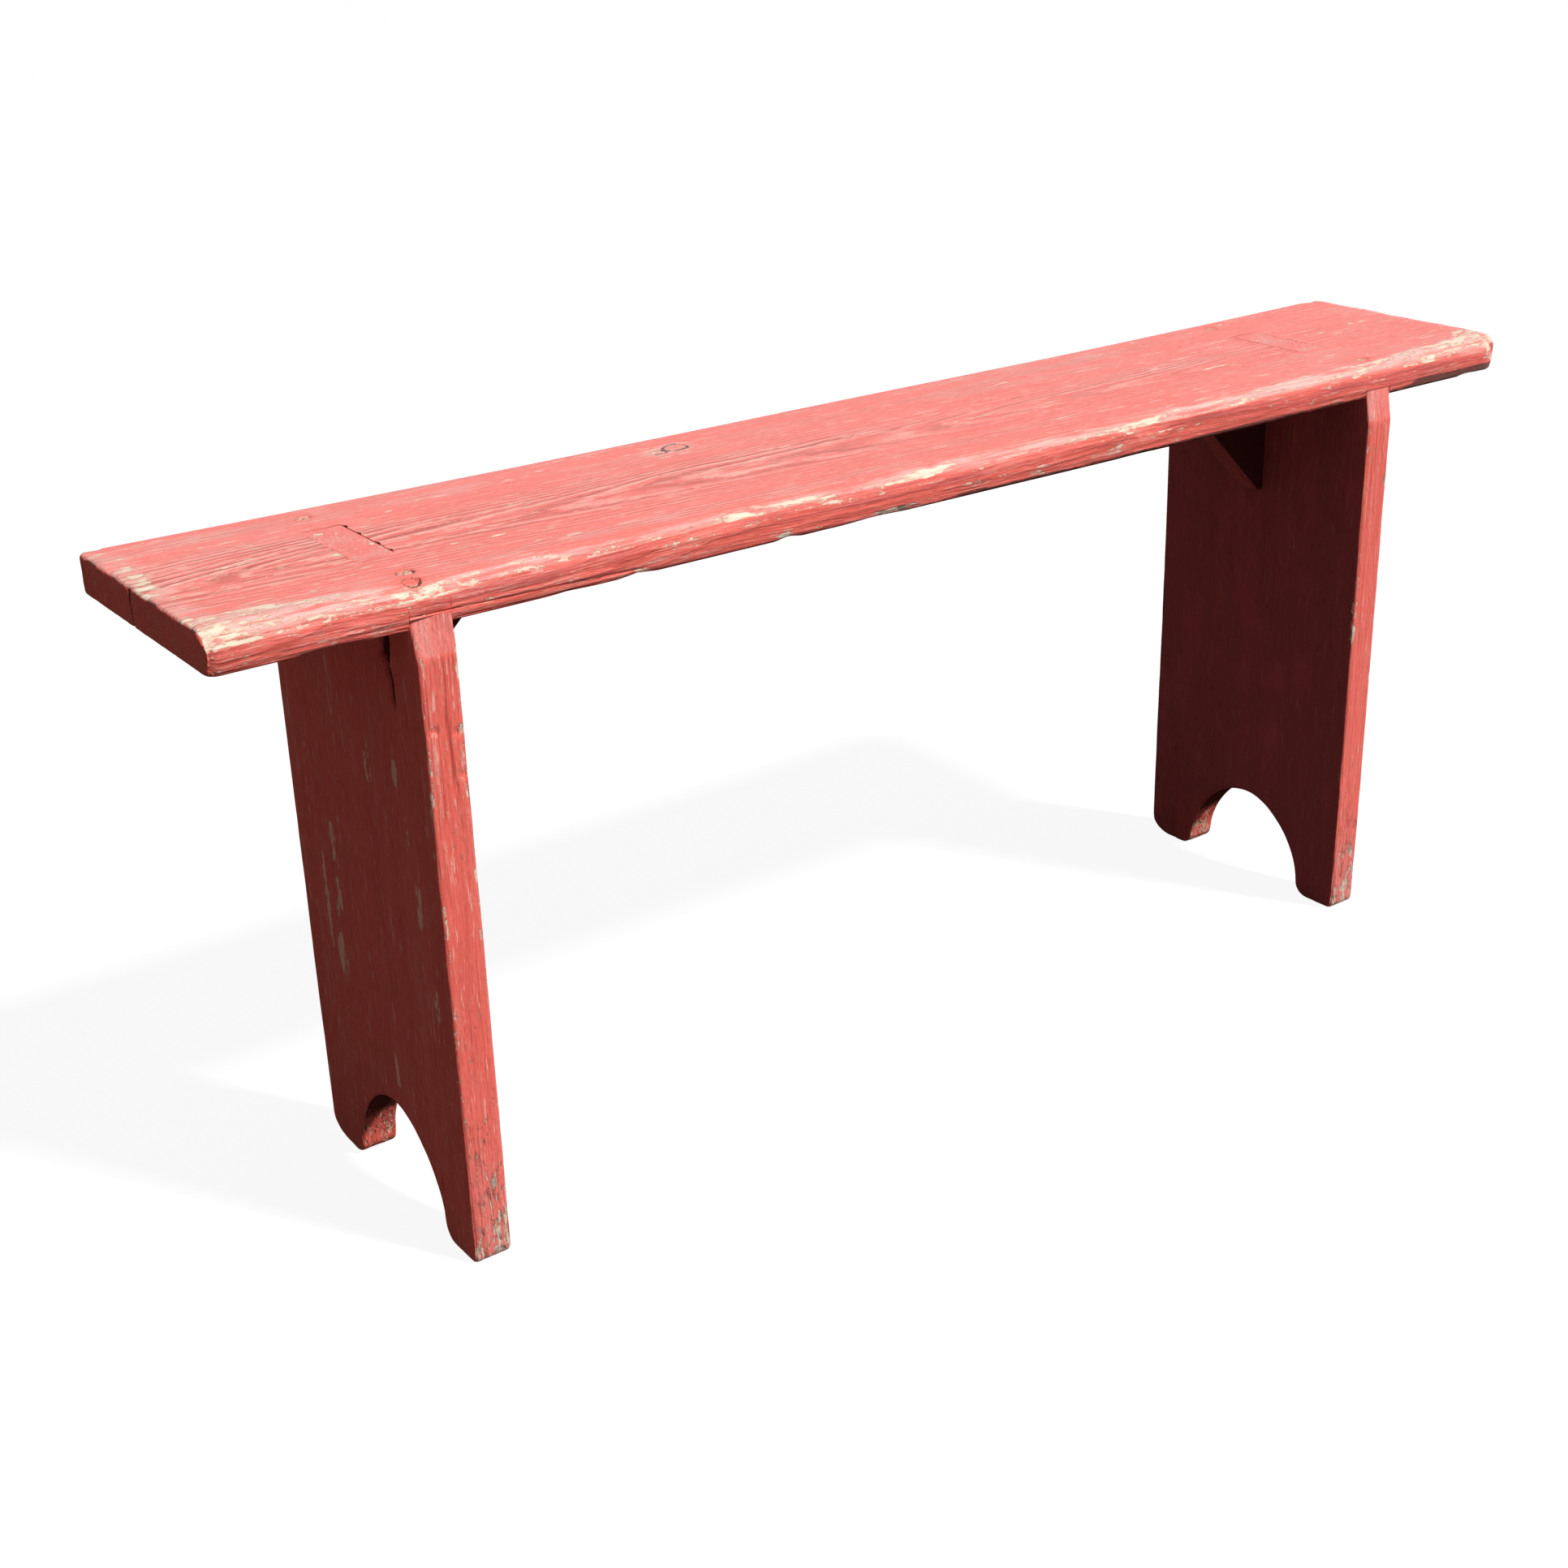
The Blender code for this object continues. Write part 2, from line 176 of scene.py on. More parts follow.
# How much bare wood it shows at those places, from 0 to 1, and how far its paint is rubbed pale, which
# also paints the highlight along the round edge.
BAND_WEAR = (0.47, 0.46, 0.44, 0.38, 0.4, 0.52, 0.6)
BAND_RUBBING_AND_HIGHLIGHT = (0.28, 0.27, 0.22, 0.19, 0.3, 0.32, 0.32)


def in_metres(table):
    """A table in millimetres as an array in metres."""
    return np.array(table) * MM


# Settings


def value_setting(name, description, default, **kind):
    """A number for the panel."""
    return bpy.props.FloatProperty(name=name, description=description, default=default, **kind)


def metres(name, description, default):
    """A length for the panel."""
    return value_setting(name, description, default, unit="LENGTH", precision=4)


def degrees(name, description, default):
    """An angle for the panel, given in degrees."""
    return value_setting(name, description, math.radians(default), subtype="ANGLE")


def vector_setting(name, description, default, **kind):
    """A place or a linear colour for the panel."""
    return bpy.props.FloatVectorProperty(
        name=name, description=description, default=default, **kind
    )


tint = partial(vector_setting, subtype="COLOR", min=0, max=1)


class SeatSettings(bpy.types.PropertyGroup):
    """Sizes of the seat board's edges, joints and wear."""

    front_round: metres("Front Round", "Radius of the front top edge", 0.018)
    back_round: metres("Back Round", "Radius of the back top edge at the ends", 0.013)
    back_wear: metres("Back Wear", "Extra radius at the middle of the back edge", 0.011)
    front_lean: metres("Front Lean", "How far the front leans in at its bottom edge", 0.003)
    end_round: metres("End Round", "Radius of the end edges", 0.003)
    lower_round: metres("Lower Round", "Radius of the lower edges", 0.003)
    corner_front_left: metres("Front Left", "Plan radius of this corner", 0.008)
    corner_front_right: metres("Front Right", "Plan radius of this corner", 0.022)
    corner_back_right: metres("Back Right", "Plan radius of this corner", 0.022)
    corner_back_left: metres("Back Left", "Plan radius of this corner", 0.018)
    housing_depth: metres("Housing Depth", "Depth of the legs' housings", 0.007)
    tenon_front: metres("Tenon Front", "Place of the mortises' front end", -0.033)
    tenon_back: metres("Tenon Back", "Place of the mortises' back end", 0.039)
    joint_gap: metres("Joint Gap", "Gap round the legs in their joints", 0.0001)
    open_crack: metres("Open Crack", "Width of the open joint at the left tenon", 0.0014)
    grain_height: metres("Grain Height", "Height of the grain on the top", 0.00016)
    ridge_height: metres("Ridge Height", "Height of the grain on the front edge", 0.0005)
    chip_depth: metres("Chip Depth", "Depth of the chips along the edges", 0.0014)


class LegSettings(bpy.types.PropertyGroup):
    """Sizes of the board legs."""

    arch_width: metres("Arch Width", "Width of the arch between the feet", 0.122)
    arch_height: metres("Arch Height", "Height of the arch", 0.072)
    arch_shift: metres("Arch Shift", "Place of the arch's middle", -0.004)
    arch_roundness: value_setting("Arch Roundness", "2 is an ellipse, and less is more pointed", 1.9)
    toe_round: metres("Toe Round", "Radius of the feet beside the arch", 0.011)
    front_foot_round: metres("Front Foot", "Radius of the front foot's corner", 0.005)
    back_foot_width: metres("Back Foot Width", "Width of the worn back corner", 0.021)
    back_foot_height: metres("Back Foot Height", "Height of the worn back corner", 0.014)
    shoulder_height: metres("Shoulder Height", "Height of the tenon's shoulders", 0.4312)
    taper_start: metres("Taper Start", "Height where the top taper begins", 0.4065)
    taper: metres("Taper", "How far the top tapers in on each edge", 0.0045)
    taper_skew: value_setting("Taper Skew", "Share more that the left leg tapers on its outer face", 0.45)
    edge_round: metres("Edge Round", "Radius of the leg's long edges", 0.0025)
    grain_height: metres("Grain Height", "Height of the grain on the faces", 0.00018)
    crack_depth: metres("Crack Depth", "Depth of the crack in the left leg", 0.007)


class BraceSettings(bpy.types.PropertyGroup):
    """Sizes of the corner braces."""

    tip: metres("Tip", "Width of the cut-off tips", 0.004)
    edge_round: metres("Edge Round", "Radius of the edges", 0.0015)
    left_trim: metres("Left Trim", "How much smaller the left brace is", 0.003)


class NailSettings(bpy.types.PropertyGroup):
    """Sizes of the seat's nails."""

    shank: metres("Shank", "Radius of the shank", 0.0018)
    head_thickness: metres("Head Thickness", "Thickness of the head", 0.0012)
    point: metres("Point", "Length of the point", 0.005)


class FinishSettings(bpy.types.PropertyGroup):
    """Colours of the paint, the wood and the nails."""

    # The faded paint on the tops is partly sun-faded paint and partly a painted reflection of the sky.
    faded_paint_and_sheen: tint("Faded Paint", "Red paint bleached by sun", (0.91, 0.216, 0.188))
    deep_paint: tint("Deep Paint", "Red paint on the edges", (0.9, 0.154, 0.118))
    # The dark paint is painted shade on the underside, the legs' inner faces, the arches and the braces;
    # noise also brings some of it out at random elsewhere.
    dark_paint_and_shade: tint("Sheltered Paint", "Paint under the seat", (0.43, 0.084, 0.083))
    # The rubbed paint on the front's round edge is partly thin, rubbed paint and partly a painted
    # highlight.
    rubbed_paint_and_highlight: tint("Rubbed Paint", "Thin paint on edges", (0.85, 0.53, 0.49))
    pale_scratch: tint("Pale Scratch", "Scratches in the paint", (0.97, 0.55, 0.46))
    grain_shade: tint("Grain Shade", "Tint of the grain's dark lines", (0.56, 0.46, 0.4))
    bare_wood: tint("Bare Wood", "Wood where the paint is gone", (0.9, 0.76, 0.6))
    # The shaded wood is a warmer brown than the bare wood: painted light thrown back into shade, used by
    # the shaded copy of the paint.
    shaded_wood: tint("Shaded Wood", "Rubbed wood out of the sun", (1.0, 0.49, 0.35))
    stained_wood: tint("Stained Wood", "Bare wood stained by paint", (0.82, 0.43, 0.33))
    # The grime colour is real dirt in cracks, joints and nails, and painted shade under the seat and in
    # the arches.
    grime_and_shade: tint("Grime", "Dirt and shade in cracks", (0.07, 0.022, 0.015))
    iron: tint("Iron", "Rusted nail heads", (0.5, 0.2, 0.13))


class StudioSettings(bpy.types.PropertyGroup):
    """Light, floor and camera."""

    camera_place: vector_setting(
        "Camera", "Place of the camera", (-0.9297, -1.181, 0.8391), subtype="TRANSLATION"
    )
    camera_target: vector_setting(
        "Target", "Point that the camera looks at", (-0.16751, -0.1028, 0.26376),
        subtype="TRANSLATION",
    )
    camera_roll: degrees("Roll", "Tilt of the camera", -1.6704)
    lens: value_setting("Lens", "Focal length in millimetres", 51.13, unit="CAMERA")
    sun_azimuth: degrees("Lamp Azimuth", "Direction of the lamp from the front, to the right", 31)
    sun_elevation: degrees("Lamp Elevation", "Height of the lamp above the floor", 48)
    sun_strength: value_setting("Lamp Strength", "Light on a face turned to the lamp", 3.9)
    sun_size: degrees("Lamp Size", "Angle that the lamp fills, which softens its shadows", 5)
    sky_strength: value_setting("Sky Strength", "Light from all round", 0.155)
    floor_size: metres("Floor Size", "Side of the floor", 14)


# Grids and noise


def spaced(*runs):
    """Places in order: each run (start, end, steps) is divided evenly, and shared ends merge."""
    places = np.concatenate([np.linspace(start, end, steps + 1) for start, end, steps in runs])
    return np.unique(np.round(places, 7))


def box_lattice(*steps):
    """The grid points on the six faces of a box, and the quads between them, turned outwards.

    A point is a triple of whole numbers: its steps along the box's length, width and height.
    """
    shape = tuple(count + 1 for count in steps)
    number = np.arange(np.prod(shape)).reshape(shape)
    sheets = [number[-1], number[0].T, number[:, 0], number[:, -1].T]
    sheets += [number[:, :, -1], number[:, :, 0].T]
    corners = [(sheet[:-1, :-1], sheet[1:, :-1], sheet[1:, 1:], sheet[:-1, 1:]) for sheet in sheets]
    quads = np.concatenate([np.stack(four, axis=-1).reshape(-1, 4) for four in corners])
    used, quads = np.unique(quads, return_inverse=True)
    return np.stack(np.unravel_index(used, shape), axis=1), quads.reshape(-1, 4)


def corner_value(cell, seed):
    """A repeatable number from 0 to 1 for each cell corner.

    Its three whole numbers are multiplied by large odd numbers and added, and the sum's bits mixed.
    """
    mixed = cell[:, 0] * 374761393 + cell[:, 1] * 668265263 + cell[:, 2] * 1274126177
    mixed = (mixed + seed * 974711) & 0xFFFFFFFF
    mixed = ((mixed ^ (mixed >> 13)) * 1103515245) & 0xFFFFFFFF
    return (mixed ^ (mixed >> 16)) / 0xFFFFFFFF


def noise(points, size, seed, layers=1):
    """Smooth random values, about -1 to 1, that change over the distance size on each axis.

    The values at the eight cell corners round a point are blended by 3t^2 - 2t^3 along each axis.
    Each further layer has half the size and half the height, with the sum scaled back.
    """
    total = np.zeros(len(points))
    for layer in range(layers):
        grid = points * 2**layer / np.asarray(size)
        cell = np.floor(grid).astype(np.int64)
        part = grid - cell
        part = part * part * (3 - 2 * part)
        for corner in np.ndindex(2, 2, 2):
            share = np.prod(np.where(corner, part, 1 - part), axis=1)
            value = 2 * corner_value(cell + corner, seed + layer) - 1
            total += share * value / 2**layer
    return total / (2 - 0.5 ** (layers - 1))


def ramp(value, start, end):
    """0 before start, 1 after end, and 3t^2 - 2t^3 between them. It falls where end is lower."""
    part = np.clip((value - start) / (end - start), 0, 1)
    return part * part * (3 - 2 * part)


def bump(value, middle, half):
    """1 at middle, falling to 0 at a distance of half."""
    return 1 - ramp(np.abs(value - middle), 0, half)


def round_off(first, second, radius):
    """Depths below two faces that meet at a square edge, moved so that the edge is round.

    With u and v as 1 at the faces and 0 a radius below them, both are scaled by
    max(u, v) / hypot(u, v), which turns the square round the edge's centre into a circle.
    """
    u = np.clip(1 - first / radius, 0, 1)
    v = np.clip(1 - second / radius, 0, 1)
    scale = np.maximum(u, v) / np.maximum(np.hypot(u, v), 1e-9)
    scale = np.where((u > 0) & (v > 0), scale, 1)
    return first + radius * u * (1 - scale), second + radius * v * (1 - scale)


def surface_normals(points, quads):
    """The unit normal at each point: the cross products of the diagonals of its quads, added up."""
    corners = points[quads]
    across = np.cross(corners[:, 2] - corners[:, 0], corners[:, 3] - corners[:, 1])
    total = np.zeros_like(points)
    for corner in range(4):
        np.add.at(total, quads[:, corner], across)
    return total / np.maximum(np.linalg.norm(total, axis=1, keepdims=True), 1e-12)


# Pieces


def add_object(name, data):
    """A new object at the origin, linked to the scene."""
    item = bpy.data.objects.new(name, data)
    bpy.context.scene.collection.objects.link(item)
    return item


def add_piece(name, points, faces, materials, masks, nodes, sharp=50, second=None):
    """Makes a mesh piece that stands for CAD nodes, with its masks as attributes of its points.

    second is a mask of the faces that get the second material.
    """
    mesh = bpy.data.meshes.new(name)
    mesh.from_pydata(points.tolist(), [], faces)
    for mask, values in masks.items():
        attribute = mesh.attributes.new(mask, "FLOAT", "POINT")
        attribute.data.foreach_set("value", np.asarray(values, np.float32))
    mesh.polygons.foreach_set("use_smooth", np.ones(len(mesh.polygons), bool))
    mesh.set_sharp_from_angle(angle=math.radians(sharp))
    for material in materials:
        mesh.materials.append(material)
    if second is not None:
        mesh.polygons.foreach_set("material_index", second.astype(np.int32))
    if mesh.validate():
        raise RuntimeError(f"{name} has faces that had to be repaired")
    piece = add_object(name, mesh)
    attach(piece, "root")
    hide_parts(*nodes)
    return piece


def seat_lines(s):
    """The seat's grid places along its length and width, closer at edges, joints and nails."""
    end, side = SEAT_HIGH.x, SEAT_HIGH.y
    half = LEG_HALF + s.joint_gap
    runs = [(-end, s.end_round - end, 4), (s.end_round - end, -0.5, 14)]
    reach = -0.5
    for middle, joint_steps in ((LEG_MIDDLE["left"], 20), (LEG_MIDDLE["right"], 12)):
        out, back = middle - half, middle + half
        if middle > 0:
            far, near = in_metres(KNOT_RINGS)[:, 0] + (0.012, -0.011)
            runs += [(reach, near, round((near - reach) / 0.0072)), (near, far, 22)]
            reach = far
        runs.append((reach, out - HAIR, max(4, round((out - HAIR - reach) / 0.007))))
        runs.append((out - HAIR, out + HAIR, 1))
        runs.append((out + HAIR, back - HAIR, joint_steps))
        runs.append((back - HAIR, back + HAIR, 1))
        runs.append((back + HAIR, back + 0.012, 8))
        reach = back + 0.012
    runs += [(reach, 0.5, 18), (0.5, end - s.end_round, 14), (end - s.end_round, end, 4)]
    tenon = (s.tenon_front - s.joint_gap, s.tenon_back + s.joint_gap)
    across = [(-side, s.front_round - side, 24), (s.front_round - side, tenon[0], 38)]
    across += [(tenon[0], 0.0075, 26), (0.0075, 0.0115, 4), (0.0115, tenon[1], 19)]
    across += [(tenon[1], side - 0.024, 22), (side - 0.024, side, 16)]
    return spaced(*runs), spaced(*across)


def mortise_walls(number, along, across):
    """Quads down the four walls of a hole through the seat, between the top and bottom grids.

    number holds the two grids' points at each place, and along and across are the hole's first
    and last lines. The walls run once round the hole and face into it.
    """
    (i0, i1), (j0, j1) = along, across
    loop = [(i, j0) for i in range(i0, i1)] + [(i1, j) for j in range(j0, j1)]
    loop += [(i, j1) for i in range(i1, i0, -1)] + [(i0, j) for j in range(j1, j0, -1)]
    here = np.array([number[place] for place in loop])
    there = np.roll(here, -1, axis=0)
    return np.stack([here[:, 0], there[:, 0], there[:, 1], here[:, 1]], axis=1)


def seat_shape(s):
    """The seat board: a box lattice whose edges are rounded one after another.

    The end edges come first, then the round front and back edges, the lower edges and the
    corners seen from above. The bottom is raised in the housings, and the mortises go through.
    Last, the front is sheared so that it leans in evenly towards its bottom edge.
    """
    x, y = seat_lines(s)
    low, high, end, side = SEAT_LOW.z, SEAT_HIGH.z, SEAT_HIGH.x, SEAT_HIGH.y
    z = spaced((0, s.lower_round, 3), (s.lower_round, high - low, 24)) / (high - low)
    steps, quads = box_lattice(len(x) - 1, len(y) - 1, len(z) - 1)
    i, j, k = steps.T
    points = np.stack([x[i], y[j], z[k]], axis=1)
    half = LEG_HALF + s.joint_gap
    ceiling = low + s.housing_depth
    housed = np.zeros(len(points), bool)
    for middle in LEG_MIDDLE.values():
        housed |= np.abs(points[:, 0] - middle) < half
    floor = np.where(housed, ceiling, low)
    points[:, 2] = floor + (high - floor) * z[k]

    number = np.full((len(x), len(y), 2), -1)
    top, bottom = k == len(z) - 1, k == 0
    number[i[top], j[top], 0] = np.flatnonzero(top)
    number[i[bottom], j[bottom], 1] = np.flatnonzero(bottom)
    slack = s.joint_gap + 0.01 * MM
    j0, j1 = np.flatnonzero((y > s.tenon_front - slack) & (y < s.tenon_back + slack))[[0, -1]]
    walls = []
    for middle in LEG_MIDDLE.values():
        i0, i1 = np.flatnonzero(np.abs(x - middle) < half)[[0, -1]]
        hole = (i >= i0) & (i <= i1) & (j >= j0) & (j <= j1)
        for sheet in (top, bottom):
            quads = quads[~(hole & sheet)[quads].all(axis=1)]
        walls.append(mortise_walls(number, (i0, i1), (j0, j1)))
    used, quads = np.unique(np.concatenate([quads, *walls]), return_inverse=True)
    quads = quads.reshape(-1, 4)
    points, top, bottom, housed = points[used], top[used], bottom[used], housed[used]

    x, y, z = points.T
    down, inward = round_off(high - z, end - np.abs(x), s.end_round)
    z[:] = high - down
    x[:] = np.sign(x) * (end - inward)
    back = s.back_round + s.back_wear * (1 - (x / end) ** 2)
    back = np.minimum(back, high - low - s.lower_round)
    radius = np.where(y < 0, s.front_round, back)
    down, inward = round_off(down, side - np.abs(y), radius)
    up, inward = round_off(high - down - low, inward, s.lower_round)
    z[:] = low + up
    y[:] = np.sign(y) * (side - inward)
    up, inward = round_off(up, end - np.abs(x), s.end_round)
    z[:] = low + up
    x[:] = np.sign(x) * (end - inward)
    for radius, sign_x, sign_y in (
        (s.corner_front_left, -1, -1),
        (s.corner_front_right, 1, -1),
        (s.corner_back_right, 1, 1),
        (s.corner_back_left, -1, 1),
    ):
        near = (x * sign_x > 0) & (y * sign_y > 0)
        in_x, in_y = round_off(end - np.abs(x[near]), side - np.abs(y[near]), radius)
        x[near], y[near] = sign_x * (end - in_x), sign_y * (side - in_y)
    lean_top = high - 0.006
    share = np.clip((lean_top - z) / (lean_top - low), 0, 1)
    y += s.front_lean * share * ramp(-y, side - 0.025, side - 0.002)
    return points, quads, top, bottom & housed


def nail_distances(x, y):
    """For each of the seat's nails: its name, its head's place and the points' distances from it."""
    for name in SEAT_NAILS:
        low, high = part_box(name)
        head = (low + high) / 2
        head.z = high.z
        yield name, head, np.hypot(x - head.x, y - head.y)


def seat_wear(points, normals):
    """The seat's masks: sun bleach and painted light, paint worn through, dirt and painted shade, and how
    much the grain shows.

    The worn band runs along the front's round edge, from the line band_top down to low_line.
    The wear is the strongest of all the marks, and the dirt and painted shade is their sum.
    """
    (x, y, z), (nx, ny, nz) = points.T, normals.T
    end = SEAT_HIGH.x
    left, flat, on_top = x < 0, nz > 0.5, z > 0.448
    rough = noise(points, (0.045, 0.012, 0.012), 11, 3)
    long_rough = noise(points, (0.1, 0.03, 0.03), 12, 2)
    patch = noise(points, (0.05, 0.02, 0.02), 15, 2)
    streak = noise(points, (0.06, 1, 0.0022), 17, 2)
    broken = ramp(noise(points, (0.03, 0.02, 0.02), 18, 3), -0.1, 0.5)
    inboard = 1 - ramp(np.abs(nx), 0.38, 0.66)

    band_top = np.interp(x, *in_metres(BAND_TOP)) + 0.0025 * long_rough
    band_top += 0.0035 * noise(points, (0.018, 0.02, 0.02), 16, 3)
    band_x, band_low = in_metres(BAND_LOW)
    low_line = np.interp(x, band_x, band_low) + 0.0016 * rough
    band = ramp(band_top - y, 0, 0.003) * ramp(z, low_line, low_line + 0.0018) * inboard
    band_wear = np.interp(x, band_x, BAND_WEAR) + 0.42 * patch
    band_wear += 0.28 * bump(y, band_top - 0.005, 0.007) * broken
    facing_front = ramp(-ny, 0.55, 0.85) * (1 - band) * inboard
    front_wear = np.interp(x, [-0.5, -0.36, -0.1], [0.3, 0.24, 0.21]) + 0.3 * streak
    back_edge = bump(y, 0.096, 0.006) * (z > 0.44)
    reach = np.where(left, 0.024, 0.01) + 0.012 * rough
    ends = ramp(np.abs(x), end - reach, end - 0.4 * reach) * ramp(nz, 0.1, 0.6)
    end_wear = np.where(left, 0.46, 0.34) + 0.35 * noise(points, 0.014, 13, 2)
    corner = np.hypot((x - 0.522) / 0.02, (y + 0.08) / 0.026)
    low_front = bump(z, 0.428, 0.004) * (y < -0.09)
    wear = [
        band * band_wear,
        facing_front * front_wear,
        back_edge * (0.36 + 0.3 * rough),
        ends * end_wear,
        0.6 * inboard * ramp(corner, 1.3, 0.5) * (z > 0.432),
        flat * (0.13 + 0.1 * patch + 0.1 * ramp(-x, 0.1, 0.4)),
    ]
    for place, half, amount in ((-0.265, 0.016, 0.6), (-0.158, 0.01, 0.8), (-0.07, 0.04, 0.65)):
        wear.append(low_front * bump(x, place, half) * (amount + 0.4 * rough))
    for chip_x, chip_y, long, wide in in_metres(TOP_CHIPS):
        away = np.hypot((x - chip_x) / long, (y - chip_y) / wide)
        wear.append(flat * 0.62 * ramp(away, 1.3, 0.6))

    # Tops turn towards the faded paint, which is partly sun fading and partly a painted sky reflection,
    # and the underside towards the dark paint, which is painted shade.
    up = ramp(nz, 0.45, 0.95)
    under = ramp(-nz, 0.4, 0.9)
    bleach_and_painted_light = 0.33 + 0.33 * up - 0.2 * under
    below = 0.36 + 0.16 * streak - 0.14 * ramp(z, 0.432, 0.438)
    bleach_and_painted_light += facing_front * (below - bleach_and_painted_light)
    # Along the band the paint is rubbed pale, which is partly real wear and partly a painted highlight
    # along the round edge.
    rubbing_and_highlight = np.interp(x, band_x, BAND_RUBBING_AND_HIGHLIGHT) * (1 - 0.3 * ramp(z, 0.444, 0.44))
    bleach_and_painted_light += rubbing_and_highlight * band + 0.1 * ends + 0.1 * back_edge
    side = ramp(np.abs(ny), 0.45, 0.85)
    lines = bump(y, -0.012, 0.065) * (0.35 + 0.65 * ramp(-x, -0.05, 0.25))
    open_grain = up * bump(y, 0.0, 0.06) * ramp(-x, 0.28, 0.4)
    grainy = up * (0.06 + 0.8 * lines) + 0.15 * side + 0.1 * band + 0.18 * open_grain
    ridged = up * (0.05 + 0.75 * lines) + side * np.interp(x, [-0.35, -0.2], [0.9, 0.4])
    ridged += 0.35 * band + 0.2 * open_grain

    front = ramp(-ny, 0.15, 0.5)
    dirt_and_shade = 0.5 * low_front * bump(x, -0.085, 0.05) + 0.26 * band
    dirt_and_shade += 0.35 * low_front * ramp(noise(points, (0.03, 0.01, 0.01), 14, 2), 0.1, 0.6)
    # Painted shade along the front's lower edge, under its round.
    dirt_and_shade += 0.7 * front * ramp(z, 0.4285, 0.427) * ramp(x, -0.12, 0.0)
    # Painted shade on the rounded lower edge of the front at the right end.
    dirt_and_shade += 0.95 * front * ramp(z, 0.433, 0.43) * ramp(x, 0.42, 0.44) * inboard
    dirt_and_shade += 0.22 * facing_front * ramp(-streak, 0.15, 0.6)
    crack_x, crack_z = in_metres(FRONT_CRACK[:2])
    crack = bump(z, np.interp(x, crack_x, crack_z), 0.0012) * (y < -0.1)
    dirt_and_shade += 0.5 * crack * ramp(np.abs(x + 0.34), 0.09, 0.07)
    dirt_and_shade += 1.6 * bump(y, END_SPLIT * MM, 0.0024) * (x < 0.006 - end) * (z < 0.4485)
    crack_x, crack_y = in_metres(END_CRACK)
    crack = bump(y, np.interp(x, crack_x, crack_y), 0.0017) * (x < crack_x[-1]) * on_top
    dirt_and_shade += 0.75 * crack * ramp(long_rough + rough, -0.5, 0.3)
    joint = bump(x, LEG_MIDDLE["left"] + LEG_HALF + 0.0012, 0.002) * on_top
    for place, half in in_metres(JOINT_DIRT):
        dirt_and_shade += 0.9 * joint * bump(y, place, half)
    for name, head, away in nail_distances(x, y):
        shown = (z > 0.44) * (1.0 if "left" in name and head.y < 0 else 0.4)
        # The dark ring round each nail is stronger on its front side: painted shade of the crater wall,
        # over real dirt round the head.
        lower_side = 0.5 + 0.5 * ramp(head.y - y, -0.002, 0.003)
        stained = shown * ramp(away, 0.0085, 0.005) * (0.8 + 0.4 * rough)
        dirt_and_shade += shown * lower_side * 0.8 * bump(away, 0.0052, 0.0014) + 0.3 * stained
        bleach_and_painted_light -= 0.22 * shown * ramp(away, 0.012, 0.005)
        wear.append(0.5 * stained)
    dirt_and_shade += 0.42 * on_top * bump(x, 0.372, 0.022) * bump(y, 0.004, 0.012) * (0.7 + 0.6 * rough)
    for knot_x, knot_y, radius in in_metres(KNOT_RINGS):
        knot = np.hypot(x - knot_x, y - knot_y) / radius + 0.3 * noise(points, 0.006, 19, 2)
        ring = bump(knot, 0.9, 0.28) * ramp(noise(points, 0.007, 20), -0.9, -0.2)
        dirt_and_shade += on_top * (ring + 0.6 * bump(knot, 0.1, 0.35))
        wear.append(flat * 0.4 * ramp(knot, 1.7, 1.1))
        bleach_and_painted_light += 0.12 * flat * ramp(knot, 1.9, 1.2)
    masks = {"bleach_and_painted_light": bleach_and_painted_light, "worn": np.maximum.reduce(wear)}
    for name, mask in (("dirt_and_shade", dirt_and_shade), ("grainy", grainy), ("ridged", ridged)):
        masks[name] = np.clip(mask, 0, 1)
    return masks


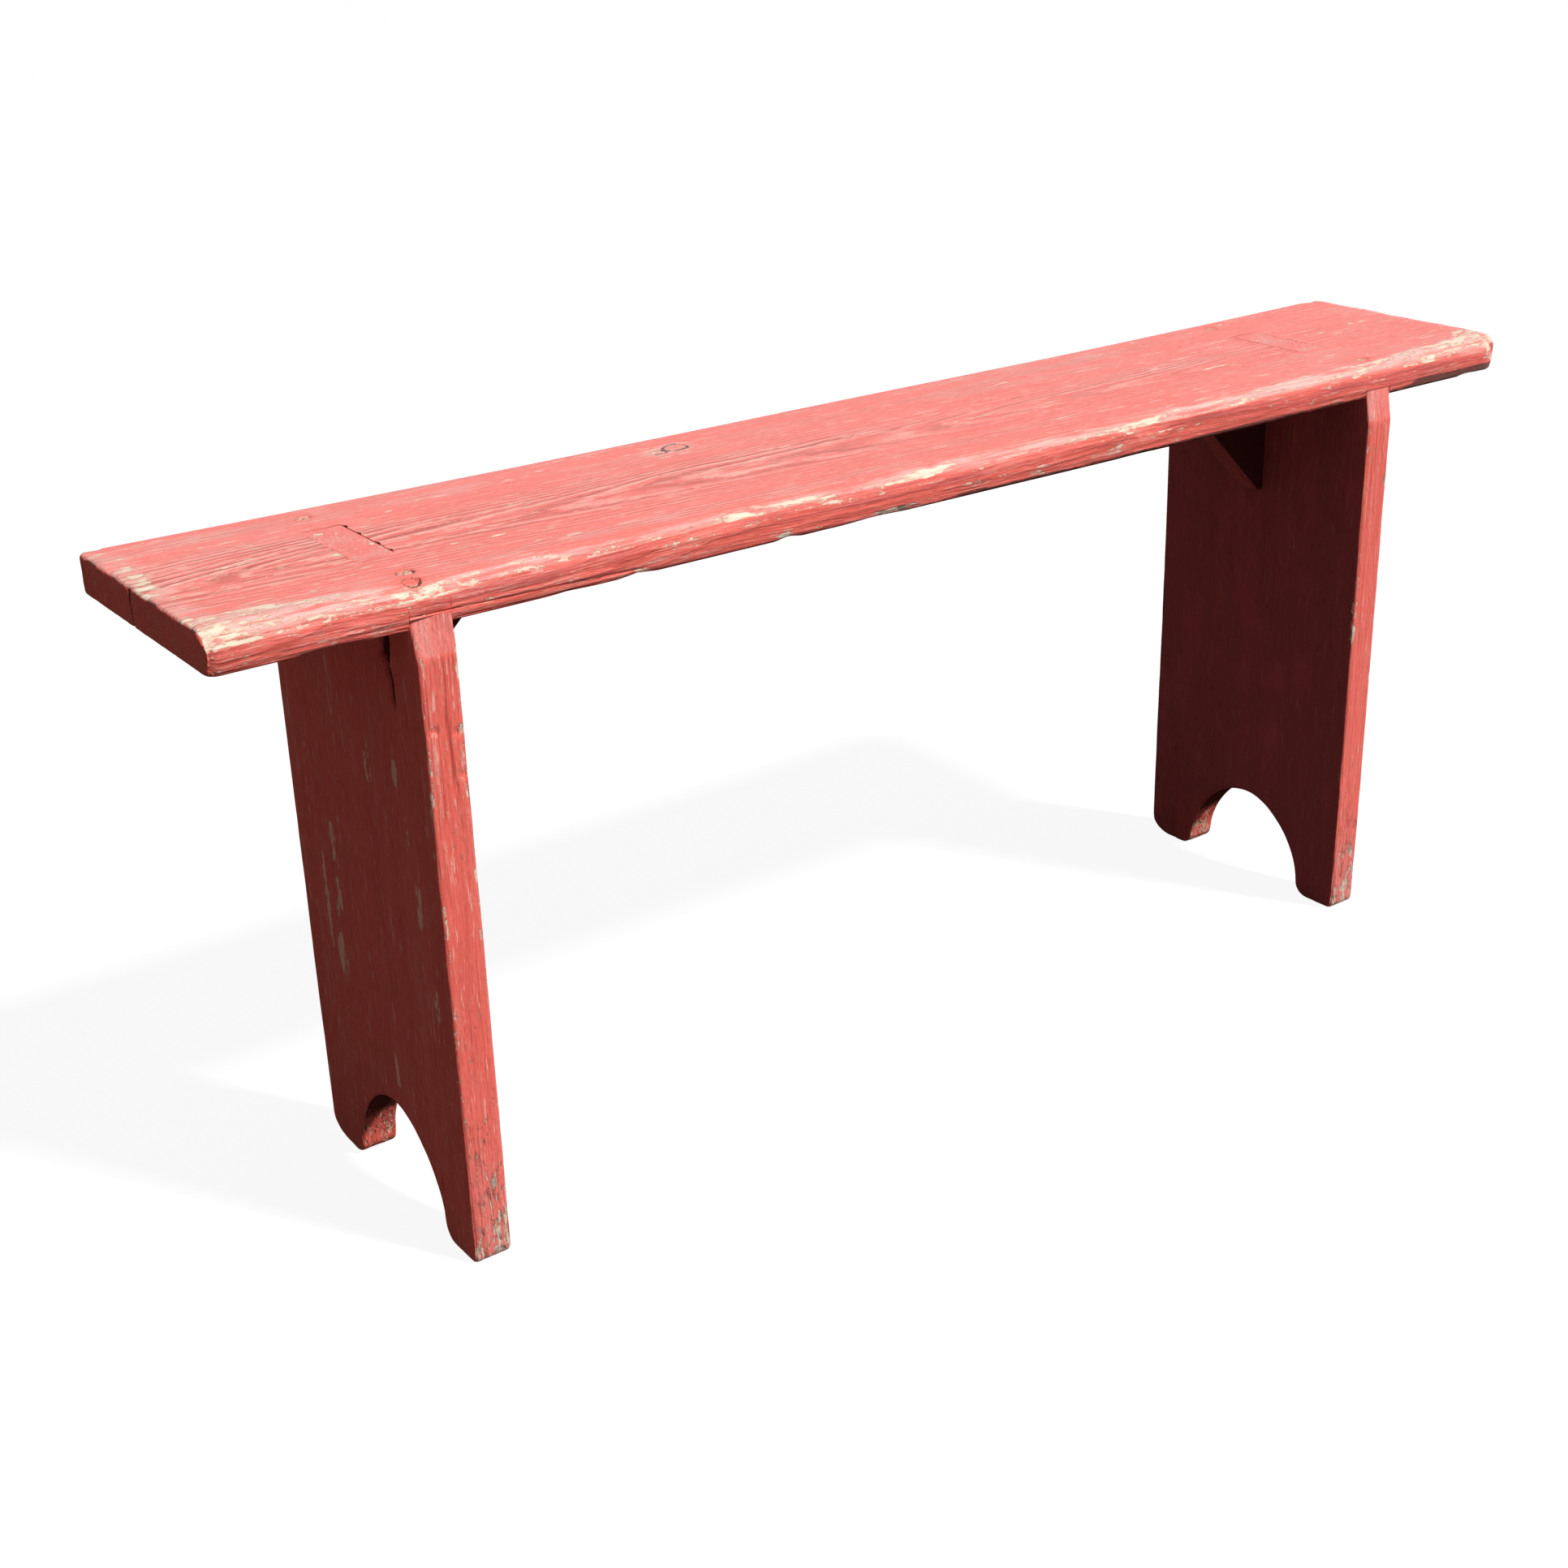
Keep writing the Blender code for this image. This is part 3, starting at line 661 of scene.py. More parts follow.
def build_seat(s, materials):
    """Displaces the seat's surface along its normals with grain, chips, dents and nail craters.

    Before that, the mortise's edge beside the left tenon is drawn back to open the joint there.
    """
    points, quads, top, hidden = seat_shape(s)
    x, y, z = points.T
    left, end = x < 0, SEAT_HIGH.x
    joint = LEG_MIDDLE["left"] + LEG_HALF + s.joint_gap
    wavy = 0.35 + 0.35 * noise(points, (1, 0.005, 1), 21, 2)
    for place, half in in_metres(JOINT_DIRT):
        wavy += 0.9 * bump(y, place, half + MM)
    inside = ramp(y, s.tenon_front - 0.001, s.tenon_front + 0.004)
    inside *= ramp(y, s.tenon_back, s.tenon_back - 0.003) * (x < joint + 0.01)
    spread = np.clip(1 - (x - joint + HAIR) / 0.01, 0, 1) * (x > joint - 2 * HAIR)
    points[:, 0] += top * spread * inside * s.open_crack * wavy
    normals = surface_normals(points, quads)
    masks = seat_wear(points, normals)

    front = ramp(-normals[:, 1], 0.2, 0.8) * (np.abs(x) < end - 0.002)
    ridges = noise(points, (0.05, 0.0028, 0.0026), 24, 2) - 0.4
    height = 0.0004 * noise(points, (0.3, 0.07, 0.07), 22)
    height += s.grain_height * noise(points, (0.09, 0.004, 0.004), 23, 2)
    height += front * np.interp(x, [-0.36, -0.22], [1.9, 0.9]) * s.ridge_height * ridges
    groove = bump(z, np.interp(x, *in_metres(FRONT_CRACK[::2])), 0.0012)
    height -= front * 0.0009 * groove * ramp(np.abs(x + 0.34), 0.09, 0.07)
    worn_through = ramp(masks["worn"], 0.35, 0.8)
    height -= 0.0004 * worn_through * ramp(noise(points, (0.02, 0.004, 0.004), 25, 2), -0.1, 0.5)

    edge = ramp(np.abs(x), end - 0.006, end) * ramp(z, 0.442, 0.4475) * s.chip_depth
    height -= edge * np.where(left, 1.3, 0.7) * ramp(noise(points, 0.014, 26, 3), -0.2, 0.5)
    height -= edge * bump(y, END_SPLIT * MM, 0.005) * left
    chips = ramp(noise(points, (0.03, 1, 1), 27, 2), 0.3, 0.8)
    for place, half, share in ((-0.265, 0.014, 1), (-0.154, 0.012, 1), (-0.085, 0.03, 0.6)):
        chips += share * bump(x, place, half)
    low_edge = bump(z, SEAT_LOW.z, 0.003) * (y < -0.09)
    height -= low_edge * s.chip_depth * np.minimum(1, chips)
    split = bump(y, END_SPLIT * MM, 0.0026) * (x < 0.006 - end)
    height -= 0.003 * split * ramp(z, 0.4505, 0.44)
    for _, head, away in nail_distances(x, y):
        crater = np.clip(head.z - 0.0012 - z, -0.0012, 0)
        rim = ramp(away, 0.0056, 0.0048)
        height = np.where((z > 0.43) & top, height * (1 - rim) + rim * crater, height)
    height[hidden | ~top & (np.abs(normals[:, 0]) > 0.9) & (np.abs(x) < end - 0.01)] = 0
    points += normals * height[:, None]
    # The ends and the underside get the shaded copy of the paint.
    facing = normals[quads].mean(axis=1)
    shade_copy = (np.abs(facing[:, 0]) > 0.7) | (facing[:, 2] < -0.5)
    return add_piece(
        "worn_seat", points, quads.tolist(), materials, masks, ["seat_board"],
        second=shade_copy,
    )


def arc_points(centre, radii, start, end, count):
    """Points on a quarter of an ellipse: its centre plus its radii times cosine and sine."""
    turn = np.radians(np.linspace(start, end, count))
    return np.asarray(centre) + np.asarray(radii) * np.stack([np.cos(turn), np.sin(turn)], axis=1)


def foot_line(s):
    """The leg's lower outline from front to back: foot corners, toes and the arch between them.

    The arch is a superellipse: half its width times cosine, and its height times sine, each to
    the power 2 / roundness. It starts at the height where the toes' round corners reach it.
    """
    power = 2 / s.arch_roundness
    start = math.degrees(math.asin((s.toe_round / s.arch_height) ** (1 / power)))
    toe = s.arch_width / 2 * math.cos(math.radians(start)) ** power
    turn = np.radians(np.linspace(180 - start, start, 90))
    reach = np.sign(np.cos(turn)) * np.abs(np.cos(turn)) ** power
    arch = np.stack(
        [s.arch_shift + s.arch_width / 2 * reach, s.arch_height * np.sin(turn) ** power], axis=1
    )
    corner, toes = (s.front_foot_round,) * 2, (s.toe_round,) * 2
    front = arc_points((corner[0] - LEG_SIDE, corner[1]), corner, 180, 270, 10)
    inner = arc_points((s.arch_shift - toe - s.toe_round, s.toe_round), toes, 270, 360, 10)
    outer = arc_points((s.arch_shift + toe + s.toe_round, s.toe_round), toes, 180, 270, 10)
    worn = (s.back_foot_width, s.back_foot_height)
    back = arc_points((LEG_SIDE - worn[0], worn[1]), worn, 270, 360, 12)
    line = np.concatenate([front, inner, arch[1:-1], outer, back])
    fine = np.linspace(0, len(line) - 1, 4000)
    return np.stack([np.interp(fine, np.arange(len(line)), line[:, n]) for n in (0, 1)], axis=1)


def leg_columns(line, tenon):
    """Grid places across the leg, even along its lower outline, closer at its edges and crack.

    Each stretch of the outline is weighted, the weights are added up, and the sum is divided
    evenly. The tenon's two edges get a pair of columns each, a hair apart.
    """
    step = np.diff(line, axis=0)
    middle = (line[1:, 0] + line[:-1, 0]) / 2
    weight = np.hypot(*step.T) * (1 + 1.5 * bump(np.abs(middle), LEG_SIDE, 0.006))
    weight *= 1 + 2.5 * bump(middle, LEG_CRACK_Y, 0.009)
    total = np.concatenate([[0], np.cumsum(weight)])
    across = np.interp(np.linspace(0, total[-1], 150), total, line[:, 0])
    pairs = [edge + shift for edge in tenon for shift in (-HAIR, HAIR)]
    clear = np.min(np.abs(across[:, None] - np.array(tenon)[None, :]), axis=1) > 3 * HAIR
    return np.unique(np.concatenate([across[clear], pairs]))


def leg_shape(s, seat, side):
    """A board leg: a box lattice whose bottom follows the foot line and whose top has the tenon.

    Heights are measured from the foot line to the shoulders, the top row alone steps up to the
    tenon, and all long edges are rounded.
    """
    middle = LEG_MIDDLE[side]
    line = foot_line(s)
    tenon = (seat.tenon_front, seat.tenon_back)
    y = leg_columns(line, tenon)
    bottom = np.interp(y, line[:, 0], line[:, 1])
    run, rise = np.gradient(line, axis=0).T
    size = np.maximum(np.hypot(run, rise), 1e-12)
    rise, run = (np.interp(y, line[:, 0], part / size) for part in (rise, run))
    r, tall = s.edge_round, s.shoulder_height
    flat = LEG_HALF - r
    thick = spaced((-LEG_HALF, -flat, 3), (-flat, flat, 18), (flat, LEG_HALF, 3))
    z = spaced((0, r, 3), (r, 0.02, 7), (0.02, tall - 0.03, 158), (tall - 0.03, tall, 16)) / tall
    steps, quads = box_lattice(len(thick) - 1, len(y) - 1, len(z) - 1)
    i, j, k = steps.T
    depth, across = LEG_HALF - np.abs(thick[i]), y[j]
    height = bottom[j] + (tall - bottom[j]) * z[k]
    top = k == len(z) - 1
    in_tenon = (across > tenon[0]) & (across < tenon[1])
    height = np.where(top & in_tenon, TENON_TOP, height)
    skew = 1 - s.taper_skew * thick[i] / LEG_HALF if side == "left" else 1
    shift = s.taper * skew * np.clip((height - s.taper_start) / (tall - s.taper_start), 0, 1)
    across = across - np.sign(across) * shift * ramp(np.abs(across), 0.06, LEG_SIDE)
    inward = LEG_SIDE - shift - np.abs(across)
    worn_edge = r * (1 + 0.35 * noise(np.stack([thick[i] * 0, across, height], 1), 0.03, 31, 2))
    rounded, moved = round_off(depth, inward, np.where(top, 0.4 * MM, worn_edge))
    across = across - np.sign(across) * (moved - inward)
    above = (height - bottom[j]) * np.abs(run[j])
    rounded, moved = round_off(rounded, np.where(top, 1.0, above), worn_edge)
    lift = np.where(top, 0, moved - above)
    across = across - rise[j] * lift
    height = height + np.abs(run[j]) * lift
    points = np.stack([middle + np.sign(thick[i]) * (LEG_HALF - rounded), across, height], axis=1)
    return points, quads


def leg_wear(s, points, normals, side):
    """A leg's masks. Paint is worn from the long edges, the feet and streaks on the outer face."""
    (x, y, z), (nx, ny, nz) = points.T, normals.T
    left = side == "left"
    rough = noise(points, (0.008, 0.008, 0.05), 41, 3)
    patch = noise(points, (0.02, 0.02, 0.09), 42, 2)
    specks = noise(points, 0.005, 43, 2)
    depth = LEG_HALF - np.abs(x - LEG_MIDDLE[side])
    on_edge = (depth < 0.003) & (LEG_SIDE - np.abs(y) < 0.003)
    faces = ramp(np.abs(nx), 0.6, 0.9)
    edges = ramp(np.abs(ny), 0.5, 0.9)
    facet = edges * ramp(z + 0.002 * rough, s.taper_start, s.taper_start + 0.003)
    inside = nx * (1 if left else -1) > 0.5
    crown = (nz > 0.7) & (z > 0.44)
    arch = (np.abs(nx) < 0.6) & (np.abs(y) < ARCH_REACH) & (z < ARCH_TOP)
    foot = ramp(z, 0.044 + 0.012 * rough, 0.014) * (1 - 0.6 * faces)
    wear = [
        on_edge * ((0.36 if left else 0.28) + 0.3 * rough + 0.2 * specks),
        foot * (0.5 + 0.18 * rough + 0.2 * specks),
        edges * ramp(z, 0.11, 0.055) * (0.34 + 0.3 * specks + 0.14 * rough),
        edges * (0.14 + 0.16 * rough),
        faces * 0.06 * (1 + patch),
        crown * (0.3 if left else 0.16) * (1 + specks),
        arch * ramp(z, 0.04, 0.01) * (0.4 + 0.5 * specks),
    ]
    # The inner faces turn to the dark paint: painted shade under the seat.
    bleach_and_painted_light = 0.34 + 0.3 * facet + 0.34 * crown - 0.33 * inside * faces
    bleach_and_painted_light += edges * (1 - arch) * (0.03 + 0.2 * ramp(z, 0.11, 0.03))
    # The arch turns darker towards its top: painted shade.
    bleach_and_painted_light -= 0.12 * arch * ramp(z, 0.01, 0.05)
    dirt_and_shade = 0.62 * ramp(z, 0.08, 0.01) * ramp(patch + specks, -0.2, 0.5) * (1 - faces)
    dirt_and_shade = np.maximum(dirt_and_shade, edges * (0.28 + 0.16 * ramp(z, 0.14, 0.06) + 0.06 * specks))
    # Painted shade in the arch, darker towards its top.
    dirt_and_shade = np.maximum(dirt_and_shade, 0.86 * arch * ramp(z, 0.02, 0.045))
    upper = ramp(z, 0.27, 0.33) + 0.6 * ramp(z, 0.11, 0.05)
    lined = (0.95 if left else 0.35) * (0.15 + 0.85 * upper) * (1 - 0.8 * facet)
    if left:
        streak_wear = (nx < -0.6) * (0.55 + 0.35 * rough + 0.15 * specks)
        for place, height, half, tall in in_metres(LEFT_LEG_STREAKS):
            streak = bump(y, place + 0.002 * patch, 1.7 * half) * bump(z, height, 1.1 * tall)
            wear.append(streak_wear * ramp(streak, 0.0, 0.5))
    else:
        nick = bump(y, -0.005, 0.0022) * bump(z, 0.182, 0.008)
        fleck = bump(y, -0.0376, 0.0025) * bump(z, 0.1745, 0.003)
        # Painted shade on the right leg's inner face, darker towards the seat.
        dirt_and_shade += 0.35 * inside * faces * ramp(z, 0.33, 0.43)
        dirt_and_shade = np.maximum(dirt_and_shade, inside * 0.7 * nick)
        wear.append(inside * 0.8 * fleck)
    return {
        "bleach_and_painted_light": bleach_and_painted_light,
        "worn": np.maximum.reduce(wear),
        "dirt_and_shade": dirt_and_shade,
        "grainy": -0.35 * faces - 0.2 * edges,
        "ridged": 0.05 * faces + edges * lined,
    }


def build_leg(s, seat, side, materials):
    """Displaces a leg's surface along its normals with grain, dents and the left leg's crack."""
    points, quads = leg_shape(s, seat, side)
    x, y, z = points.T
    normals = surface_normals(points, quads)
    masks = leg_wear(s, points, normals, side)
    seed = 50 if side == "left" else 60
    height = 0.0003 * noise(points, (0.05, 0.05, 0.2), seed)
    height += s.grain_height * noise(points, (0.004, 0.004, 0.07), seed + 1, 2)
    front = ramp(-normals[:, 1], 0.3, 0.8)
    height += front * 0.00022 * (noise(points, (0.0026, 1, 0.03), seed + 2, 2) - 0.2)
    if side == "left":
        for dent_x, dent_z, size in in_metres(LEG_DENTS):
            away = np.hypot((x - dent_x) / size, (z - dent_z) / (0.6 * size))
            height -= front * 0.0012 * ramp(away, 1, 0.3)
        heights, places, halves = in_metres(LEG_CRACK)
        half = np.interp(z, heights, halves) * (1 + 0.3 * noise(points, (1, 1, 0.006), seed + 3, 2))
        away = np.abs(y - np.interp(z, heights, places)) / np.maximum(half, 1e-5)
        gap = ramp(away, 1.2, 0.8) * (z > 0.36)
        gap *= (normals[:, 0] < -0.6) & (z < s.shoulder_height - 0.002)
        height -= s.crack_depth * gap
        masks["dirt_and_shade"] = np.clip(masks["dirt_and_shade"] + 1.5 * gap, 0, 1.5)
    height[z > s.shoulder_height - 0.0072] = 0
    points += normals * height[:, None]
    # The broad faces and the arch get the shaded copy of the paint.
    shade_copy = np.abs(normals[quads].mean(axis=1)[:, 0]) > 0.7
    in_arch = np.abs(y[quads]).max(axis=1) < ARCH_REACH
    shade_copy |= in_arch & (z[quads].max(axis=1) < ARCH_TOP)
    return add_piece(
        f"worn_leg_{side}", points, quads.tolist(), materials, masks, [f"leg_{side}"],
        second=shade_copy,
    )


def build_brace(s, side, materials):
    """A triangular brace: a box lattice whose bottom slopes from the leg to the far tip."""
    low, high = BRACE_BOXES[side]
    trim = s.left_trim if side == "left" else 0
    run, drop, half = high.x - low.x - trim, high.z - low.z - trim, (high.y - low.y) / 2
    r = s.edge_round
    out = spaced((0, s.tip, 6), (s.tip, run - r, 50), (run - r, run, 3))
    across = spaced((-half, r - half, 3), (r - half, half - r, 14), (half - r, half, 3))
    z = spaced((0, 0.05, 3), (0.05, 1, 36))
    steps, quads = box_lattice(len(out) - 1, len(across) - 1, len(z) - 1)
    i, j, k = steps.T
    slope = (drop - s.tip) / (run - s.tip)
    depth = np.minimum(drop, s.tip + (run - out[i]) * slope)
    fall = 1 / math.hypot(1, slope)
    below = depth * (1 - z[k])
    above = (depth - below) * fall
    inward = half - np.abs(across[j])
    inward, lifted = round_off(inward, above, r)
    below = below - (lifted - above) / fall
    facing = 1 if side == "left" else -1
    leg_face = low.x if side == "left" else high.x
    sideways = (low.y + high.y) / 2 + np.sign(across[j]) * (half - inward)
    points = np.stack([leg_face + facing * out[i], sideways, high.z - below], axis=1)
    if facing < 0:
        quads = quads[:, ::-1]
    normals = surface_normals(points, quads)
    rough = noise(points, (0.02, 0.006, 0.02), 71, 2)
    height = 0.0002 * noise(points, (0.03, 0.004, 0.03), 72, 2)
    shown = (high.z - points[:, 2] > 0.001) & (np.abs(points[:, 0] - leg_face) > 0.001)
    points += normals * (height * shown)[:, None]
    sloping = ramp(-normals[:, 2], 0.3, 0.6)
    edges = inward < 0.0025
    worn = 0.1 * sloping * (1 + rough) + 0.1 * edges * sloping
    # The front and back faces get painted shade under the seat, and the sloping face much less.
    dirt_and_shade = 0.95 - 0.77 * sloping
    plain = np.full(len(points), 0.2)
    masks = {"bleach_and_painted_light": 0.1 * sloping, "worn": worn, "dirt_and_shade": dirt_and_shade, "grainy": plain, "ridged": plain}
    return add_piece(
        f"painted_brace_{side}", points, quads.tolist(), materials, masks,
        [f"brace_{side}"],
    )


def turned(profile, count):
    """A profile of (radius, height) from one pole to the other, turned about the Z axis.

    Each ring is its radius times cosine and sine of evenly spaced angles, and the two ends are
    single points.
    """
    profile = np.asarray(profile, float)
    angle = 2 * np.pi * np.arange(count) / count
    rings = profile[1:-1]
    round_x, round_y = (np.outer(rings[:, 0], part(angle)).ravel() for part in (np.cos, np.sin))
    ring_points = np.stack([round_x, round_y, np.repeat(rings[:, 1], count)], axis=1)
    points = np.concatenate([ring_points, [[0, 0, profile[0, 1]], [0, 0, profile[-1, 1]]]])
    here = np.arange(len(rings) * count).reshape(len(rings), count)
    there = np.roll(here, -1, axis=1)
    quads = np.stack([here[:-1], there[:-1], there[1:], here[1:]], axis=-1).reshape(-1, 4)
    bottom = np.stack([np.full(count, len(points) - 2), there[0], here[0]], axis=1)
    top = np.stack([np.full(count, len(points) - 1), here[-1], there[-1]], axis=1)
    return points, quads.tolist() + bottom.tolist() + top.tolist()


def build_seat_nail(s, node, materials):
    """A wire nail with a hammered, slightly domed head, upright at its CAD node's place."""
    low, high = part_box(node)
    centre, head = (low + high) / 2, (high.x - low.x) / 2
    length, under = high.z - low.z, -s.head_thickness
    profile = [(0, -length), (0.25 * s.shank, -length + 0.0002), (s.shank, s.point - length)]
    profile += [(s.shank, under - 0.002), (s.shank * 1.15, under), (head * 0.6, under)]
    profile += [(head * 0.97, under), (head, under * 0.7), (head, under * 0.35)]
    profile += [(head * share, -0.00018 * share**4) for share in (0.96, 0.85, 0.7, 0.5, 0.3, 0.15)]
    points, faces = turned(profile + [(0, 0)], 32)
    points += (centre.x, centre.y, high.z)
    dents = noise(points, 0.0022, 81, 2)
    points[:, 2] -= 0.00025 * ramp(dents, 0, 0.8) * (points[:, 2] > high.z - 0.0006)
    return add_piece(
        node.replace("seat", "driven"), points, faces, materials, {}, [node], sharp=40
    )


# Finishes

# Tint of the grain's dark lines in bare wood.
WOOD_GRAIN = (0.66, 0.48, 0.4)


def opaque(colour):
    """A colour with full alpha."""
    return (*colour, 1.0)


def add_node(tree, kind, inputs=None, **options):
    """Adds a shader node, sets its options, and links or sets its inputs by name or number."""
    node = tree.nodes.new("ShaderNode" + kind)
    for name, value in options.items():
        setattr(node, name, value)
    for key, value in (inputs or {}).items():
        socket = node.inputs[key]
        if isinstance(value, bpy.types.NodeSocket):
            tree.links.new(value, socket)
        else:
            socket.default_value = opaque(value) if socket.type == "RGBA" else value
    return node


def add_math(tree, operation, first, second=0.0, third=0.0, clamp=False):
    """The output of a Math node."""
    inputs = {0: first, 1: second, 2: third}
    return add_node(tree, "Math", inputs, operation=operation, use_clamp=clamp).outputs[0]


def add_mix(tree, factor, first, second, blend="MIX"):
    """The colour output of a Mix node."""
    inputs = {0: factor, 6: first, 7: second}
    return add_node(tree, "Mix", inputs, data_type="RGBA", blend_type=blend).outputs[2]


def add_step(tree, value, start, end):
    """0 below start and 1 above end, smoothly between them."""
    inputs = {"Value": value, "From Min": start, "From Max": end}
    return add_node(tree, "MapRange", inputs, interpolation_type="SMOOTHSTEP").outputs["Result"]


def add_noise(tree, vector, scale, detail=2.0, roughness=0.5, output="Fac"):
    """An output of a Noise Texture node."""
    inputs = {"Vector": vector, "Scale": scale, "Detail": detail, "Roughness": roughness}
    return add_node(tree, "TexNoise", inputs).outputs[output]


def new_material(name):
    """An empty node material and its tree."""
    material = bpy.data.materials.new(name)
    material.use_nodes = True
    material.node_tree.nodes.clear()
    return material, material.node_tree


def finish_material(tree, colour, roughness, height, relief, specular):
    """Ends a material with a Principled shader and a Bump node of the given relief in metres."""
    shading = add_node(tree, "Bump", {"Height": height, "Distance": relief, "Strength": 1.0})
    inputs = {"Base Color": colour, "Roughness": roughness, "Normal": shading.outputs[0]}
    shader = add_node(tree, "BsdfPrincipled", {**inputs, "Specular IOR Level": specular})
    add_node(tree, "OutputMaterial", {"Surface": shader.outputs[0]})


def add_ramp(tree, value, colours):
    """A colour that passes through the given colours, evenly spaced, as value goes from 0 to 1."""
    node = add_node(tree, "ValToRGB", {"Fac": value})
    stops = node.color_ramp.elements
    while len(stops) < len(colours):
        stops.new(0.5)
    for number, colour in enumerate(colours):
        stops[number].position = number / (len(colours) - 1)
        stops[number].color = opaque(colour)
    return node.outputs["Color"]


def shifted(tree, value, amount, base, clamp=False):
    """base plus amount times the noise value's distance from its middle, 0.5."""
    away = add_math(tree, "SUBTRACT", value, 0.5)
    return add_math(tree, "MULTIPLY_ADD", away, amount, base, clamp)


def painted_wood(name, c, grain, pith, tilt, sunny=True):
    """Old red paint over softwood, with five masks: bleach and painted light, worn, dirt and painted
    shade, grainy and ridged.

    Places wander across the grain by slow noise. Streaks are noise stretched along the grain.
    Growth lines are a sawtooth wave round the pith, a line outside the board that is tilted a
    little, so that they open out into long arches: each has a dark groove and a pale rim.
    Paint goes from the dark paint, which is painted shade, through plain and faded paint, partly a
    painted sky reflection, to rubbed paint, partly a painted highlight. Bare wood shows where the
    worn mask plus streaks pass a threshold, and dirt and painted shade darken the rest in the same
    way. The shaded copy for faces out of the sun has browner, warmer wood, which is painted light
    thrown back into shade, and nothing shines.
    """
    material, tree = new_material(name)
    place = add_node(tree, "TexCoord").outputs["Object"]
    times, larger, scaled = (
        partial(add_math, tree, kind) for kind in ("MULTIPLY", "MAXIMUM", "MULTIPLY_ADD")
    )
    step, mix, around = (partial(function, tree) for function in (add_step, add_mix, shifted))

    def stretched(vector, length, width, seed=0.0):
        scale = [1 / length if part else 1 / width for part in grain]
        inputs = {"Vector": vector, "Scale": scale, "Location": (seed,) * 3}
        return add_node(tree, "Mapping", inputs).outputs[0]

    def streaks(length, width, detail, roughness, seed=0.0):
        return add_noise(tree, stretched(swayed, length, width, seed), 1.0, detail, roughness)

    def vector_math(operation, first, second):
        return add_node(tree, "VectorMath", {0: first, 1: second}, operation=operation).outputs[0]

    swayed = place
    for length, width, amount in ((0.2, 0.05, 0.012), (0.04, 0.012, 0.002), (0.01, 0.005, 0.0008)):
        cloud = add_noise(tree, stretched(swayed, length, width), 1.0, 1.0, output="Color")
        sway = vector_math("SUBTRACT", cloud, (0.5, 0.5, 0.5))
        sway = vector_math("MULTIPLY", sway, (Vector((1, 1, 1)) - Vector(grain)) * amount)
        swayed = vector_math("ADD", swayed, sway)

    bleach_and_painted_light, worn, dirt_and_shade, grainy, ridged = (
        add_node(tree, "Attribute", attribute_name=mask).outputs["Fac"]
        for mask in ("bleach_and_painted_light", "worn", "dirt_and_shade", "grainy", "ridged")
    )
    broad = streaks(0.26, 0.02, 3.0, 0.55)
    fibre = streaks(0.045, 0.0032, 5.0, 0.62, 3.7)
    ridge = streaks(0.08, 0.0023, 3.0, 0.6, 6.1)
    fine = streaks(0.009, 0.0011, 2.0, 0.5, 9.1)
    flake = streaks(0.012, 0.0046, 4.0, 0.68, 5.3)
    blotch = add_noise(tree, place, 24.0, 5.0)

    inputs = {"Vector": swayed, "Location": pith, "Rotation": tilt}
    rings = add_node(
        tree, "TexWave", {"Vector": add_node(tree, "Mapping", inputs).outputs[0], "Scale": 96.0},
        wave_type="RINGS", rings_direction="XYZ"[grain.index(1)], wave_profile="SAW",
    ).outputs["Fac"]
    shown = around(broad, 3.0, grainy, clamp=True)
    groove = times(times(step(rings, 0.58, 0.76), step(rings, 1.0, 0.94)), shown)
    groove = times(groove, step(fibre, 0.28, 0.44))
    rim = times(times(step(rings, 0.22, 0.4), step(rings, 0.6, 0.5)), shown)
    rim = times(rim, step(flake, 0.36, 0.48))

    rubbing_and_highlight = add_math(tree, "SUBTRACT", bleach_and_painted_light, 0.68, clamp=True)
    level = around(blotch, 0.26, around(broad, 0.3, bleach_and_painted_light))
    level = add_math(tree, "ADD", level, times(around(fibre, 9.0, 0.0), rubbing_and_highlight))
    # The ramp's ends are the dark paint of painted shade and the rubbed paint of the painted highlight,
    # and its third stop is faded paint, partly a painted sky reflection.
    paint = add_ramp(tree, level, (c.dark_paint_and_shade, c.deep_paint, c.faded_paint_and_sheen, c.rubbed_paint_and_highlight))
    low = times(step(ridge, 0.46, 0.38), scaled(ridged, 0.85, 0.06, clamp=True))
    dark = larger(larger(groove, low), times(step(fine, 0.4, 0.32), 0.35))
    dark = larger(dark, times(step(fibre, 0.37, 0.3), step(flake, 0.5, 0.57)))
    dark = times(dark, scaled(rubbing_and_highlight, -2.0, 1.0, clamp=True))
    paint = mix(dark, paint, c.grain_shade, "MULTIPLY")
    high = times(step(ridge, 0.56, 0.63), step(flake, 0.46, 0.53))
    high = times(high, scaled(ridged, 0.9, 0.1, clamp=True))
    high = larger(high, times(step(fine, 0.6, 0.68), 0.4))
    pale = larger(times(rim, 0.9), high)
    pale = larger(pale, times(step(fibre, 0.59, 0.65), step(fine, 0.42, 0.54)))
    paint = mix(times(pale, scaled(bleach_and_painted_light, 1.4, 0.1, clamp=True)), paint, c.pale_scratch)

    edge = around(fibre, 1.0, around(flake, 1.6, worn))
    bare = step(edge, 0.47, 0.55)
    # The shaded copy's wood is a warmer brown: painted light thrown back into shade.
    stained, clean = (c.stained_wood, c.bare_wood) if sunny else (c.shaded_wood, c.shaded_wood)
    wood = mix(step(edge, 0.49, 0.74), stained, clean)
    wood = mix(times(dark, 0.7), wood, WOOD_GRAIN, "MULTIPLY")
    # Dirt and painted shade both darken the colour towards the grime colour.
    soiled_and_shaded = step(around(flake, 1.0, around(fine, 0.8, dirt_and_shade)), 0.38, 0.8)
    colour = mix(times(soiled_and_shaded, 0.9), mix(bare, paint, wood), c.grime_and_shade)

